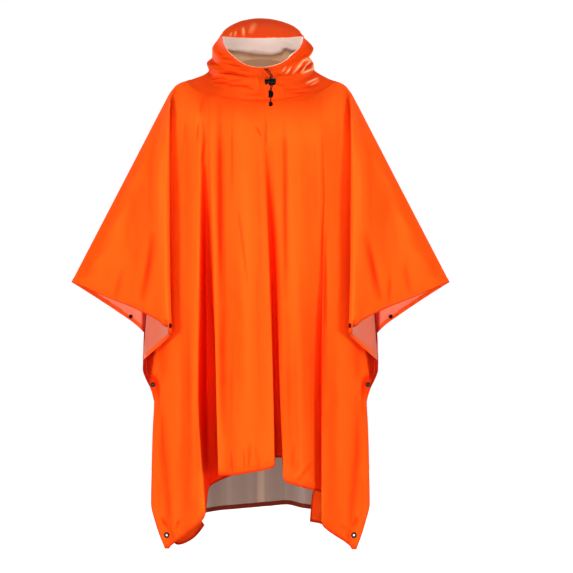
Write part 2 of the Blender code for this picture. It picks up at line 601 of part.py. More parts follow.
def ball(name, middle, radii, finish):
    bm = bmesh.new()
    bmesh.ops.create_uvsphere(bm, u_segments=16, v_segments=10, radius=1.0)
    bmesh.ops.scale(bm, vec=radii, verts=bm.verts)
    bmesh.ops.translate(bm, vec=middle, verts=bm.verts)
    return add_object(name, mesh_from(bm, name), finish)


def barrel(name, left_x, right_x, radius):
    """A barrel with rounded ends, lying across the cord."""
    bm = bmesh.new()
    length = right_x - left_x
    bmesh.ops.create_cone(bm, cap_ends=True, segments=24, radius1=radius, radius2=radius, depth=length)
    rims = [e for e in bm.edges if abs(e.verts[0].co.z - e.verts[1].co.z) < 1e-6]
    bmesh.ops.bevel(bm, geom=rims, offset=min(0.35 * radius, 0.3 * length), segments=2, profile=0.5,
                    affect="EDGES")
    bmesh.ops.rotate(bm, matrix=Matrix.Rotation(math.pi / 2, 3, "Y"), verts=bm.verts)
    bmesh.ops.translate(bm, vec=((left_x + right_x) / 2, LOCK_CENTRE.y, LOCK_CENTRE.z), verts=bm.verts)
    return add_object(name, mesh_from(bm, name), "black_plastic")


def make_drawcord():
    for side_name in ("left", "right"):
        cord(f"drawcord_upper_{side_name}", CORD_ABOVE_LOCK[side_name])
        cord(f"drawcord_lower_{side_name}", CORD_BELOW_LOCK[side_name])
    cord("drawcord_tail", CORD_TAIL)
    body_left = LOCK_CENTRE.x - LOCK_LEFT_SHARE * LOCK_LENGTH
    barrel("cord_lock", body_left, body_left + LOCK_LENGTH, LOCK_RADIUS)
    barrel("cord_lock_plunger", body_left - TOUCH_GAP - PLUNGER_LENGTH, body_left - TOUCH_GAP,
           0.75 * LOCK_RADIUS)
    ball("cord_knot", *KNOT, "black_cord")
    ball("cord_end_knot", *END_KNOT, "black_cord")


# ---------------------------------------------------------------- build
for old in list(bpy.data.objects):
    bpy.data.objects.remove(old)

poncho = bpy.data.collections.new("rain_poncho")
cutters = bpy.data.collections.new("cutters")
for collection in (poncho, cutters):
    bpy.context.scene.collection.children.link(collection)

front_splits = [1] * 3 + [2] * (len(FRONT_FOLDS) - 3) + [1] * 3
back_splits = [1] * 4 + [2] + [3] * (len(BACK_FOLDS) - 7) + [2] + [1] * 4
front = make_panel("front_panel", FRONT_FOLDS, FRONT_EDGE, FRONT_RIGHT_END, FRONT_CREASE, FRONT_HANG, -1,
                   front_splits)
back = make_panel("back_panel", BACK_FOLDS, BACK_EDGE, BACK_RIGHT_END, BACK_CREASE, BACK_HANG, 1,
                  back_splits)
make_hood()
bpy.context.view_layer.update()

for side_name, sign in (("left", -1), ("right", 1)):
    (back_x, back_z), (front_x, front_z), (shut_x, shut_z) = BACK_SNAP, FRONT_SNAP, SHUT_SNAP
    open_snap(back, f"snap_back_cap_{side_name}", f"snap_back_socket_{side_name}", sign * back_x, back_z, 1)
    open_snap(front, f"snap_front_cap_{side_name}", f"snap_front_stud_{side_name}", sign * front_x, front_z, -1)
    shut_snap(side_name, sign * shut_x, shut_z)
    eyelet(front, f"grommet_front_{side_name}", sign * FRONT_GROMMET[0], FRONT_GROMMET[1], -1)
    eyelet(back, f"grommet_back_{side_name}", sign * BACK_GROMMET[0], BACK_GROMMET[1], -1)
make_drawcord()
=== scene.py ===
# %% [markdown]
# # A rain poncho, filled out as if somebody wore it
#
# The real thing is a rectangle of thin, coated polyester with a hood sewn into the middle. Worn, it hangs
# over the arms in two wings, and the spare width falls in long folds at the front and back. This lesson
# dresses the plain model of that poncho. It makes the camera, the materials, the drawcord and the metal
# parts, and then each piece of cloth again as a fine, thin shell on the same fold lines, with its creases
# and its stitches.

# %% Load the frame
import math
from collections import namedtuple

import bmesh
import bpy
import numpy as np
from mathutils import Matrix, Vector, noise


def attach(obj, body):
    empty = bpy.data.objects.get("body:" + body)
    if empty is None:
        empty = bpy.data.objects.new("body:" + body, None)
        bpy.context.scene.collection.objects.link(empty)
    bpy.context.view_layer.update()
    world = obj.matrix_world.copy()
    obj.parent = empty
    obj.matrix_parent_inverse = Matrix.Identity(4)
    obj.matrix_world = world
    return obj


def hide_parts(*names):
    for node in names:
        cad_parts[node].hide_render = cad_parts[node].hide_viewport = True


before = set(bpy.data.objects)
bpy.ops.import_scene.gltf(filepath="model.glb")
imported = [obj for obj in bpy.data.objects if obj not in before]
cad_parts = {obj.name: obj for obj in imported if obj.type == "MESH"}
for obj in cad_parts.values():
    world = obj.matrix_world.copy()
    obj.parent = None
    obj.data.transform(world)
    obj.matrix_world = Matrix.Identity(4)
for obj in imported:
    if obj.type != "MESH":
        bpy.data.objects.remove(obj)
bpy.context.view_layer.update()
print("nodes in the frame:", len(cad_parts))

# %% [markdown]
# ## The camera
# A long lens from far away keeps the garment's proportions as a tailor would draw them. The camera looks
# straight along +Y, a little above the middle of the height and a little to one side.

# %% Camera
CAMERA_DISTANCE = 8.0
VIEW_WIDTH = 1.3752           # what the picture takes in at the shoulders' depth, in metres
CAMERA_X, CAMERA_Z = 0.0624, -0.5052

camera_data = bpy.data.cameras.new("camera")
camera_data.sensor_width = 36.0
camera_data.lens = camera_data.sensor_width * CAMERA_DISTANCE / VIEW_WIDTH
camera = bpy.data.objects.new("camera", camera_data)
bpy.context.scene.collection.objects.link(camera)
camera.location = (CAMERA_X, -CAMERA_DISTANCE, CAMERA_Z)
camera.rotation_euler = (math.pi / 2, 0, 0)
bpy.context.scene.camera = camera
print(f"lens {camera_data.lens:.1f} mm at {CAMERA_DISTANCE} m")

# %% [markdown]
# ## Curves through a few numbers
# Every fold of the cloth is given by a handful of places. A monotone cubic runs through them without swinging
# past, so a fold never bulges where its table doesn't say so. It works on whole arrays at once, which matters
# when a panel has tens of thousands of points.

# %% A smooth course through values
def smooth(knots, values, at):
    """Monotone cubic through the values."""
    knots, values = np.asarray(knots, float), np.asarray(values, float)
    if knots[0] > knots[-1]:
        knots, values = knots[::-1], values[::-1]
    steps = np.diff(knots)
    slopes = np.diff(values) / steps
    tangents = np.zeros(len(knots))
    tangents[0], tangents[-1] = slopes[0], slopes[-1]
    for i in range(1, len(knots) - 1):
        if slopes[i - 1] * slopes[i] > 0:
            before, after = 2 * steps[i] + steps[i - 1], steps[i] + 2 * steps[i - 1]
            tangents[i] = (before + after) / (before / slopes[i - 1] + after / slopes[i])
    at = np.clip(at, knots[0], knots[-1])
    i = np.clip(np.searchsorted(knots, at) - 1, 0, len(steps) - 1)
    t = (at - knots[i]) / steps[i]
    return ((1 + 2 * t) * (1 - t) ** 2 * values[i] + t * (1 - t) ** 2 * steps[i] * tangents[i]
            + t * t * (3 - 2 * t) * values[i + 1] + t * t * (t - 1) * steps[i] * tangents[i + 1])


def step_up(value, low, high):
    """0 below low, 1 above high, and an even S in between."""
    t = np.clip((np.asarray(value, float) - low) / (high - low), 0, 1)
    return t * t * (3 - 2 * t)


def step_down(value, low, high):
    """1 below low, 0 above high, and an even S in between."""
    return 1 - step_up(value, low, high)


def way_along(path):
    """How far each point of a path is from its start, along the path."""
    return np.concatenate([[0], np.cumsum(np.linalg.norm(np.diff(path, axis=0), axis=1))])


# %% A piece, and what it says about itself
def add_piece(name, data, *materials):
    made = bpy.data.objects.new(name, data)
    bpy.context.scene.collection.objects.link(made)
    for used in materials:
        data.materials.append(used)
    return made


def dress(piece, slot_name, *nodes):
    """Every piece rides on the one body and may stand for plain nodes. slot_name is not used."""
    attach(piece, "root")
    if nodes:
        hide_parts(*nodes)


# %% [markdown]
# ## Materials
# The cloth is woven polyester with an orange face and a pale polyurethane coat on its back, which is what
# makes it waterproof. The face is smooth enough for soft highlights. Both sides get a slight crinkle, as
# thin coated cloth always has, and the turned hem shows the orange face on the inner side.
#
# The painted shade of hollows and the painted light of crests could be a colour ramp on Blender's pointiness,
# but that reads only the nearest faces. Here each point of the cloth carries its own measures, such as how deep
# it lies, and the shader mixes in one colour of painted shade or painted light after the other by them.

# %% Material helpers
def new_material(name, colour, roughness, metallic=0.0):
    made = bpy.data.materials.new(name)
    made.use_nodes = True
    shader = made.node_tree.nodes["Principled BSDF"]
    shader.inputs["Base Color"].default_value = (*colour, 1.0)
    shader.inputs["Roughness"].default_value = roughness
    shader.inputs["Metallic"].default_value = metallic
    made.diffuse_color = (*colour, 1.0)
    return made, made.node_tree, shader


def add_node(tree, kind, **values):
    """A shader node, with its properties and its sockets set by name."""
    made = tree.nodes.new(kind)
    for key, value in values.items():
        if hasattr(made, key):
            setattr(made, key, value)
        else:
            made.inputs[key.replace("_", " ")].default_value = value
    return made


def noise_height(tree, scale, detail, stretch=(1, 1, 1)):
    """Noise on the piece's own coordinates, scaled in features a metre."""
    place = add_node(tree, "ShaderNodeTexCoord")
    mapping = add_node(tree, "ShaderNodeMapping", Scale=stretch)
    texture = add_node(tree, "ShaderNodeTexNoise", Scale=scale, Detail=detail)
    tree.links.new(place.outputs["Object"], mapping.inputs["Vector"])
    tree.links.new(mapping.outputs["Vector"], texture.inputs["Vector"])
    return texture


def add_bump(tree, shader, height, strength, distance):
    """A bump on top of the ones that the shader already has."""
    bump = add_node(tree, "ShaderNodeBump", Strength=strength, Distance=distance)
    tree.links.new(height, bump.inputs["Height"])
    if shader.inputs["Normal"].is_linked:
        tree.links.new(shader.inputs["Normal"].links[0].from_socket, bump.inputs["Normal"])
    tree.links.new(bump.outputs["Normal"], shader.inputs["Normal"])


# %% The face of the cloth
ORANGE = (0.93, 0.078, 0.0050)
DEEP_ORANGE = (0.92, 0.070, 0.0042)
# The hood's two oranges: the same cloth painted darker, as painted shade over the whole hood.
HOOD_SHADED_ORANGE = (0.76, 0.056, 0.0040)
HOOD_SHADED_DEEP = (0.72, 0.050, 0.0036)
# Painted shade: redder in the hollows, the valleys and the shaded folds.
VALLEY_SHADE_RED = (0.87, 0.022, 0.0018)
# Painted shade: dark red in the deepest places, at the hem edges, along the arm line and at the hood's sides
# and crown.
DEEP_SHADE_RED = (0.30, 0.0070, 0.0012)
# Painted light: paler on the crests and high up on the body.
CREST_LIGHT_ORANGE = (0.98, 0.112, 0.0080)
# Painted highlight along the hood's shining creases.
SHINE = (1.0, 0.50, 0.20)
# The pale coat painted darker, as the shade inside the panels; a painted glow adds light to it.
COAT_IN_SHADE = (0.175, 0.118, 0.098)
# Painted orange light on the coat inside the wings, where light comes through the orange cloth and off it.
COAT_IN_ORANGE_LIGHT = (0.53, 0.108, 0.062)
COAT_HOOD = (0.68, 0.58, 0.53)
ROLLED_EDGE = (0.80, 0.42, 0.30)
# Painted tan: shade in the hood's lower inside and at the nape, a highlight down the back's middle.
COAT_TAN_LIGHT_AND_SHADE = (0.56, 0.36, 0.22)
# Painted shade on the coat behind each cuff.
COAT_CUFF_SHADE = (0.25, 0.006, 0.002)


def add_crinkle(tree, shader):
    add_bump(tree, shader, noise_height(tree, 26, 3, (1, 1, 0.45)).outputs["Fac"], 0.35, 0.004)
    add_bump(tree, shader, noise_height(tree, 900, 1).outputs["Fac"], 0.12, 0.0003)


def mix_by(tree, factor, first, second):
    """A colour mix; first and second are each a colour or a socket."""
    made = add_node(tree, "ShaderNodeMix", data_type="RGBA")
    for name, given in (("A", first), ("B", second)):
        if isinstance(given, tuple):
            made.inputs[name].default_value = (*given, 1)
        else:
            tree.links.new(given, made.inputs[name])
    tree.links.new(factor, made.inputs["Factor"])
    return made.outputs["Result"]


def attribute(tree, name):
    return add_node(tree, "ShaderNodeAttribute", attribute_name=name).outputs["Fac"]


def add_weave(tree, shader):
    """Threads across and along, half a millimetre apart."""
    for direction in ("X", "Z"):
        place = add_node(tree, "ShaderNodeTexCoord")
        threads = add_node(tree, "ShaderNodeTexWave", bands_direction=direction, Scale=320.0, Distortion=0.4)
        tree.links.new(place.outputs["Object"], threads.inputs["Vector"])
        add_bump(tree, shader, threads.outputs["Fac"], 0.10, 0.00008)


def face_material(name, deep, orange, painted_crest_light, roughness, level):
    """Orange that painted shade turns redder in the hollows and darker in the deepest places, and that painted
    light and painted highlights turn paler on the crests and along the sharpest creases.
    """
    made, tree, shader = new_material(name, orange, roughness)
    shader.inputs["Specular IOR Level"].default_value = level
    shader.inputs["Specular Tint"].default_value = (1.0, 0.45, 0.15, 1.0)
    colour = mix_by(tree, noise_height(tree, 5, 2).outputs["Fac"], deep, orange)
    # Painted light on the crests, painted shade in the hollows and the deepest places, then the painted
    # highlight:
    colour = mix_by(tree, attribute(tree, "painted_crest_light"), colour, painted_crest_light)
    colour = mix_by(tree, attribute(tree, "painted_hollow_shade"), colour, VALLEY_SHADE_RED)
    colour = mix_by(tree, attribute(tree, "painted_deep_shade"), colour, DEEP_SHADE_RED)
    colour = mix_by(tree, attribute(tree, "shine"), colour, SHINE)
    colour = mix_by(tree, attribute(tree, "rolled"), colour, ROLLED_EDGE)
    tree.links.new(colour, shader.inputs["Base Color"])
    add_weave(tree, shader)
    add_crinkle(tree, shader)
    return made


face = face_material("orange_face", DEEP_ORANGE, ORANGE, CREST_LIGHT_ORANGE, 0.7, 0.004)
# The hood's face: the body's cloth with painted shade over all of it.
hood_shaded_face = face_material("hood_shaded_face", HOOD_SHADED_DEEP, HOOD_SHADED_ORANGE, ORANGE, 0.5, 0.008)


# %% The coated back of the cloth
HEM_WIDTH = 0.011


def coat_material(name, pale, warm, hem_cool, hem_warm, glow):
    """Pale coating (on the panels given painted darker as shade), with painted orange light where the attribute
    'painted_wing_light' says so, painted brownish light and shade where 'tan' says so,
    painted shade at the cuffs, and the turned hem over it: hem_warm is the hem's own colour, and on the panels
    hem_cool is its painted shade.

    glow is a painted glow that stands for the daylight that comes through the thin cloth, where the attribute
    'thin' says so.
    """
    made, tree, shader = new_material(name, pale, 0.6)
    shader.inputs["Specular IOR Level"].default_value = 0.1
    painted_wing_light = attribute(tree, "painted_wing_light")
    coat = mix_by(tree, attribute(tree, "tan"), mix_by(tree, painted_wing_light, pale, warm), COAT_TAN_LIGHT_AND_SHADE)
    hem = mix_by(tree, painted_wing_light, hem_cool, hem_warm)
    inside_hem = add_node(tree, "ShaderNodeMapRange")
    inside_hem.inputs["From Min"].default_value = HEM_WIDTH - 0.0006
    inside_hem.inputs["From Max"].default_value = HEM_WIDTH + 0.0006
    tree.links.new(attribute(tree, "hem_distance"), inside_hem.inputs["Value"])
    colour = mix_by(tree, inside_hem.outputs["Result"], hem, coat)
    colour = mix_by(tree, attribute(tree, "painted_cuff_shade"), colour, COAT_CUFF_SHADE)
    tree.links.new(colour, shader.inputs["Base Color"])
    # The painted glow, where 'thin' says so:
    tree.links.new(mix_by(tree, attribute(tree, "thin"), (0, 0, 0), colour), shader.inputs["Emission Color"])
    shader.inputs["Emission Strength"].default_value = glow
    add_crinkle(tree, shader)
    return made


# The turned hem in painted shade inside the body; inside the wings it shows its own orange.
HEM_SHADED = (0.085, 0.0075, 0.0030)
# The panels' coat in painted shade with a painted glow; the hood's coat in its own pale colour with less
# painted glow.
panel_coat = coat_material("panel_coat", COAT_IN_SHADE, COAT_IN_ORANGE_LIGHT, HEM_SHADED, ORANGE, 0.8)
hood_coat = coat_material("hood_coat", COAT_HOOD, COAT_HOOD, COAT_HOOD, COAT_HOOD, 0.40)


# %% Cord, plastic, metal and thread
def mottled_material(name, colour, lighter, roughness, metallic, grain, strength, depth, level=0.5):
    """A finish with a slight mottle in its colour and a grain in its surface, in features a metre."""
    made, tree, shader = new_material(name, colour, roughness, metallic)
    shader.inputs["Specular IOR Level"].default_value = level
    spots = noise_height(tree, grain * 0.4, 2)
    tree.links.new(mix_by(tree, spots.outputs["Fac"], colour, lighter), shader.inputs["Base Color"])
    rough = add_node(tree, "ShaderNodeMapRange")
    rough.inputs["To Min"].default_value = roughness - 0.10
    rough.inputs["To Max"].default_value = roughness + 0.10
    tree.links.new(spots.outputs["Fac"], rough.inputs["Value"])
    tree.links.new(rough.outputs["Result"], shader.inputs["Roughness"])
    add_bump(tree, shader, noise_height(tree, grain, 2).outputs["Fac"], strength, depth)
    return made


black_cord = mottled_material("black_cord", (0.001, 0.001, 0.001), (0.003, 0.003, 0.003),
                              roughness=0.85, metallic=0.0, grain=2600, strength=0.5, depth=0.0002, level=0.05)
black_plastic = mottled_material("black_plastic", (0.001, 0.001, 0.001), (0.002, 0.002, 0.002),
                                 roughness=0.32, metallic=0.0, grain=1800, strength=0.15, depth=0.0001,
                                 level=0.10)
dark_metal = mottled_material("dark_metal", (0.012, 0.008, 0.007), (0.038, 0.026, 0.022),
                              roughness=0.34, metallic=1.0, grain=1500, strength=0.12, depth=0.0001)
thread = mottled_material("orange_thread", (0.70, 0.036, 0.0030), (0.88, 0.060, 0.0045),
                          roughness=0.7, metallic=0.0, grain=3000, strength=0.4, depth=0.0001)
print("finishes:", [finish.name for finish in (face, hood_shaded_face, panel_coat, hood_coat, black_cord,
                                               black_plastic, dark_metal, thread)])

# %% [markdown]
# ## The drawcord
# One cord runs round the hood's hem and leaves it through two eyelets under the chin. Both ends pass the
# spring lock, and a knot joins them so that the lock can't slip off. One end goes on to a small knot of its
# own. The cord is a braid of eight strands, so the tube's radius follows the strands that wind both ways.

# %% Routes of the cord's two ends
CORD_RADIUS = 0.0013
HANG_Y = -0.1430              # both ends hang straight down at this depth, in front of the chin
LEFT_ROUTE = (
    (0.0115, -0.1300, 0.0072), (0.0119, -0.1340, 0.0068), (0.0158, -0.1395, 0.0025),
    (0.0215, -0.1425, -0.0045), (0.0251, HANG_Y, -0.0090), (0.0253, HANG_Y, -0.0134),
    (0.0253, HANG_Y, -0.0225), (0.0253, HANG_Y, -0.0316), (0.0244, HANG_Y, -0.0370),
    (0.0240, HANG_Y, -0.0424), (0.0245, HANG_Y, -0.0516), (0.0250, HANG_Y, -0.0608),
    (0.0249, HANG_Y, -0.0650), (0.0250, HANG_Y, -0.0692),
)
RIGHT_ROUTE = (
    (0.0155, -0.1298, 0.0080), (0.0159, -0.1340, 0.0078), (0.0200, -0.1395, 0.0038),
    (0.0255, -0.1425, -0.0035), (0.0284, HANG_Y, -0.0090), (0.0285, HANG_Y, -0.0134),
    (0.0285, HANG_Y, -0.0225), (0.0285, HANG_Y, -0.0316), (0.0278, HANG_Y, -0.0370),
    (0.0270, HANG_Y, -0.0424),
)


def course(route, count):
    """Even points on a smooth course through a route."""
    route = np.asarray(route, float)
    steps = way_along(route)
    at = np.linspace(0, steps[-1], count)
    return np.stack([smooth(steps, route[:, axis], at) for axis in range(3)], axis=-1)


# %% A braided tube along a route
def tube_mesh(bm, path, radius, strands=4, pitch=0.006, depth=0.10, sides=16):
    """A tube along a path, with the small bumps of a braid."""
    along = way_along(path)
    tangents = np.gradient(path, axis=0)
    tangents /= np.linalg.norm(tangents, axis=1)[:, None]
    across = np.cross(tangents[0], (0.3, 1.0, 0.2))
    rings = []
    for p, t, s in zip(path, tangents, along):
        across = across - t * across.dot(t)
        across /= np.linalg.norm(across)
        other = np.cross(t, across)
        ring = []
        for i in range(sides):
            turn = math.tau * i / sides
            wind = math.tau * s / pitch
            weave = math.cos(strands * turn + wind) * math.cos(strands * turn - wind)
            r = radius * (1 - depth * (0.5 - 0.5 * weave))
            ring.append(bm.verts.new(p + r * (math.cos(turn) * across + math.sin(turn) * other)))
        rings.append(ring)
    for a, b in zip(rings, rings[1:]):
        for i in range(sides):
            j = (i + 1) % sides
            bm.faces.new((a[i], a[j], b[j], b[i])).smooth = True
    bm.faces.new(rings[0][::-1])
    bm.faces.new(rings[-1])


def finished_mesh(bm, name):
    bmesh.ops.recalc_face_normals(bm, faces=bm.faces)
    mesh = bpy.data.meshes.new(name)
    bm.to_mesh(mesh)
    bm.free()
    return mesh


# %% The cord's two ends
def make_cord(name, route):
    """The piece and its length."""
    path = course(route, 200)
    bm = bmesh.new()
    tube_mesh(bm, path, CORD_RADIUS)
    return add_piece(name, finished_mesh(bm, name), black_cord), float(way_along(path)[-1])


drawcord_left, left_length = make_cord("drawcord_left", LEFT_ROUTE)
drawcord_right, right_length = make_cord("drawcord_right", RIGHT_ROUTE)
print(f"drawcord ends: {left_length * 1000:.1f} and {right_length * 1000:.1f} mm")


# %% The knots
def make_knot(name, middle, radii, turns=(2, 3)):
    """An overhand knot pulled tight: the cord winds round itself over a core of more cord."""
    t = np.linspace(0, math.tau, 160)
    loop, swing, height = 0.60, 0.28, 0.62
    reach = loop + swing * np.cos(turns[1] * t)
    shape = np.stack([reach * np.cos(turns[0] * t),
                      reach * np.sin(turns[0] * t),
                      height * np.sin(turns[1] * t)], axis=-1)
    thick = 1.35 * CORD_RADIUS
    room = np.asarray(radii) - thick
    core_share = 0.72
    bm = bmesh.new()
    tube_mesh(bm, np.asarray(middle) + shape * room / np.array([loop + swing, loop + swing, height]), thick)
    core = bmesh.ops.create_uvsphere(bm, u_segments=20, v_segments=12, radius=1.0)["verts"]
    bmesh.ops.scale(bm, vec=[core_share * r for r in radii], verts=core)
    bmesh.ops.translate(bm, vec=middle, verts=core)
    return add_piece(name, finished_mesh(bm, name), black_cord)


joining_knot = make_knot("joining_knot", (0.0250, HANG_Y, -0.0516), (0.0068, 0.0056, 0.0089))
end_knot = make_knot("end_knot", (0.0250, HANG_Y, -0.0750), (0.0052, 0.0048, 0.0055))
print("points in the joining knot:", len(joining_knot.data.vertices))

# %% [markdown]
# ## Turned parts
# The lock's barrel and button, the snaps and the grommets are all round about one axis, so each is a profile
# spun round it, as the real ones are pressed or moulded. The profile's sharp corners stay sharp in the shading.


# %% Spin a profile
def turned_mesh(name, profile, matrix, closed=False, segments=40, sharp_degrees=40):
    """Spins (radius, height) pairs round the local Z axis."""
    bm = bmesh.new()
    rings = []
    turns = [math.tau * i / segments for i in range(segments)]
    on_axis = 1e-6
    for radius, height in profile:
        if radius < on_axis:
            rings.append([bm.verts.new((0, 0, height))])
            continue
        rings.append([bm.verts.new((radius * math.cos(t), radius * math.sin(t), height)) for t in turns])
    pairs = list(zip(rings, rings[1:])) + ([(rings[-1], rings[0])] if closed else [])
    for a, b in pairs:
        for i in range(segments):
            j = (i + 1) % segments
            corners = [a[i % len(a)], a[j % len(a)], b[j % len(b)], b[i % len(b)]]
            corners = list(dict.fromkeys(corners))
            bm.faces.new(corners).smooth = True
    bmesh.ops.recalc_face_normals(bm, faces=bm.faces)
    for e in bm.edges:
        if len(e.link_faces) == 2 and e.calc_face_angle() > math.radians(sharp_degrees):
            e.smooth = False
    bm.transform(matrix)
    return finished_mesh(bm, name)


# %% The cord lock: a barrel along X, and the button that its spring holds out
LOCK_MATRIX = Matrix.Translation((0.0198, HANG_Y, -0.0225)) @ Matrix.Rotation(math.pi / 2, 4, "Y")
LOCK_PROFILE = ((0, 0), (0.0058, 0), (0.0076, 0.0008), (0.0086, 0.0024), (0.0087, 0.0046), (0.0080, 0.0054),
                (0.0080, 0.0060), (0.0087, 0.0068), (0.0087, 0.0120), (0.0084, 0.0142), (0.0072, 0.0164),
                (0.0050, 0.0176), (0.0026, 0.0180), (0, 0.0180))
BUTTON_PROFILE = ((0, -0.0093), (0.0030, -0.0093), (0.0052, -0.0084), (0.0063, -0.0066), (0.0065, -0.0046),
                  (0.0060, -0.0030), (0.0050, -0.0024), (0.0050, -0.0003), (0, -0.0003))
cord_lock = add_piece("cord_lock_barrel", turned_mesh("cord_lock_barrel", LOCK_PROFILE, LOCK_MATRIX),
                      black_plastic)
lock_button = add_piece("cord_lock_button", turned_mesh("cord_lock_button", BUTTON_PROFILE, LOCK_MATRIX),
                        black_plastic)
print(f"cord lock: {(LOCK_PROFILE[-1][1] - BUTTON_PROFILE[0][1]) * 1000:.1f} mm long with its button")

# %% Where the snaps and grommets are: the middle, the outward axis and the height of each plain part
Seat = namedtuple("Seat", "middle axis bottom top")


def seat_of(node):
    """A round node's middle and axis. Its narrower end faces outward, and a grommet's faces the front."""
    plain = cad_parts[node]
    points = np.array([plain.matrix_world @ v.co for v in plain.data.vertices])
    middle = (points.max(axis=0) + points.min(axis=0)) / 2
    axis = np.linalg.svd(points - middle, full_matrices=False)[2][2]
    height = (points - middle) @ axis
    radius = np.linalg.norm((points - middle) - height[:, None] * axis, axis=1)
    upper_radius, lower_radius = radius[height > 0].max(), radius[height < 0].max()
    alike = 0.0002
    flip = upper_radius > lower_radius + alike
    if abs(upper_radius - lower_radius) < alike:
        flip = axis[1] > 0
    if flip:
        axis, height = -axis, -height
    return Seat(Vector(middle), Vector(axis), float(height.min()), float(height.max()))


def seat_matrix(seat):
    return Matrix.Translation(seat.middle) @ seat.axis.to_track_quat("Z", "Y").to_matrix().to_4x4()


# %% Profiles of the pressed parts, from the bottom to the top of each seat
def cap_profile(seat, radius=0.0060):
    low, high = seat.bottom, seat.top
    rise = high - low
    return ((0, low), (radius, low), (radius, low + 0.30 * rise), (0.95 * radius, low + 0.72 * rise),
            (0.84 * radius, high), (0.62 * radius, high), (0.52 * radius, high - 0.30 * rise),
            (0.46 * radius, high - 0.55 * rise), (0.24 * radius, high - 0.60 * rise), (0, high - 0.50 * rise))


def socket_profile(seat, radius=0.0048):
    low, high = seat.bottom, seat.top
    rise = high - low
    return ((0, low), (radius, low), (radius, low + 0.7 * rise), (0.86 * radius, high), (0.60 * radius, high),
            (0.50 * radius, high - 0.15 * rise), (0.48 * radius, low + 0.35 * rise), (0, low + 0.35 * rise))


def stud_profile(seat, radius=0.0048):
    low, high = seat.bottom, seat.top
    rise = high - low
    return ((0, low), (radius, low), (radius, low + 0.2 * rise), (0.84 * radius, low + 0.36 * rise),
            (0.42 * radius, low + 0.40 * rise), (0.38 * radius, low + 0.60 * rise),
            (0.44 * radius, high - 0.15 * rise), (0.34 * radius, high), (0, high))


def grommet_profile(seat):
    half = (seat.top - seat.bottom) / 2
    under = half - 0.0008
    side = ((0.0070, under), (0.0068, half - 0.0003), (0.0062, half), (0.0040, half), (0.0030, half - 0.0002),
            (0.0026, half - 0.0007))
    return side + tuple((r, -h) for r, h in side[::-1]) + ((0.0034, -under), (0.0034, under))


# %% Press every snap and grommet, and keep where the cloth has to lie flat under it
def make_turned(node, profile_of, closed=False):
    seat = seat_of(node)
    name = f"{node}_pressed"
    piece = add_piece(name, turned_mesh(name, profile_of(seat), seat_matrix(seat), closed), dark_metal)
    dress(piece, "metal_dark", node)
    return seat


UNDER_A_CAP = 0.0010          # how far below a cap's rim the middle of the cloth lies
SEATS = {"front": [], "back": []}
for side_name in ("left", "right"):
    for panel_name in ("front", "back"):
        cap = make_turned(f"snap_{panel_name}_cap_{side_name}", cap_profile)
        shut = make_turned(f"snap_shut_{panel_name}_{side_name}", cap_profile)
        ring = make_turned(f"grommet_{panel_name}_{side_name}", grommet_profile, closed=True)
        SEATS[panel_name] += [(cap, cap.bottom - UNDER_A_CAP, False), (shut, shut.bottom - UNDER_A_CAP, False),
                              (ring, 0.0, True)]
    make_turned(f"snap_back_socket_{side_name}", socket_profile)
    make_turned(f"snap_front_stud_{side_name}", stud_profile)
    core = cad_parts[f"snap_shut_core_{side_name}"]
    core.data.materials.clear()
    core.data.materials.append(dark_metal)
print("seats on each panel:", {name: len(seats) for name, seats in SEATS.items()})

# %% [markdown]
# The lock, its button and both knots hang on the cord. Its length is that of the route that the tube
# follows.

dress(drawcord_left, "cord_black", "drawcord_upper_left", "drawcord_lower_left", "drawcord_tail")
dress(drawcord_right, "cord_black", "drawcord_upper_right", "drawcord_lower_right")
dress(joining_knot, "cord_black", "cord_knot")
dress(end_knot, "cord_black", "cord_end_knot")
dress(cord_lock, "plastic_black", "cord_lock")
dress(lock_button, "plastic_black", "cord_lock_plunger")
course(LEFT_ROUTE, 30).tolist()
course(RIGHT_ROUTE, 30).tolist()

# %% [markdown]
# ## The neckline and the hood's rings
# The hood is a stack of rings, from the neckline up to the edge of the face opening. Each ring passes three
# given places, the chin, the sides and the back, on an ellipse-like course. The panels need the lowest ring
# already, because their front and back lines start on it.

# %% Hood rings
RIDGE_Y = 0.004               # the shoulder and arm line, between front and back
NECK_HALF = 0.172
SEAM_GAP = 0.0006
Ring = namedtuple("Ring", "name left right chin_y side_y back_y chin_z side_z back_z back_power")

HOOD_RINGS = [
    Ring("neckline", NECK_HALF, NECK_HALF, -0.118, RIDGE_Y, 0.106, -0.066, -0.010, 0.048, 3.2),
    Ring("base", 0.136, 0.146, -0.124, -0.004, 0.116, -0.046, 0.002, 0.058, 2.6),
    Ring("lower_roll", 0.123, 0.129, -0.131, -0.008, 0.124, -0.030, 0.014, 0.070, 2.2),
    Ring("roll", 0.128, 0.127, -0.136, -0.012, 0.130, -0.018, 0.030, 0.086, 2.0),
    Ring("notch", 0.115, 0.117, -0.132, -0.016, 0.130, -0.006, 0.045, 0.104, 1.8),
    Ring("upper_roll", 0.115, 0.128, -0.130, -0.026, 0.112, 0.002, 0.064, 0.120, 1.6),
    Ring("crown_back", 0.104, 0.110, -0.129, -0.040, 0.070, 0.007, 0.080, 0.132, 1.4),
    Ring("crown", 0.096, 0.102, -0.128, -0.060, 0.004, 0.010, 0.088, 0.1375, 1.25),
    Ring("brim_top", 0.093, 0.102, -0.1275, -0.078, -0.068, 0.012, 0.090, 0.116, 1.25),
    Ring("opening", 0.0916, 0.1040, -0.127, -0.088, -0.106, 0.013, 0.090, 0.083, 1.25),
]


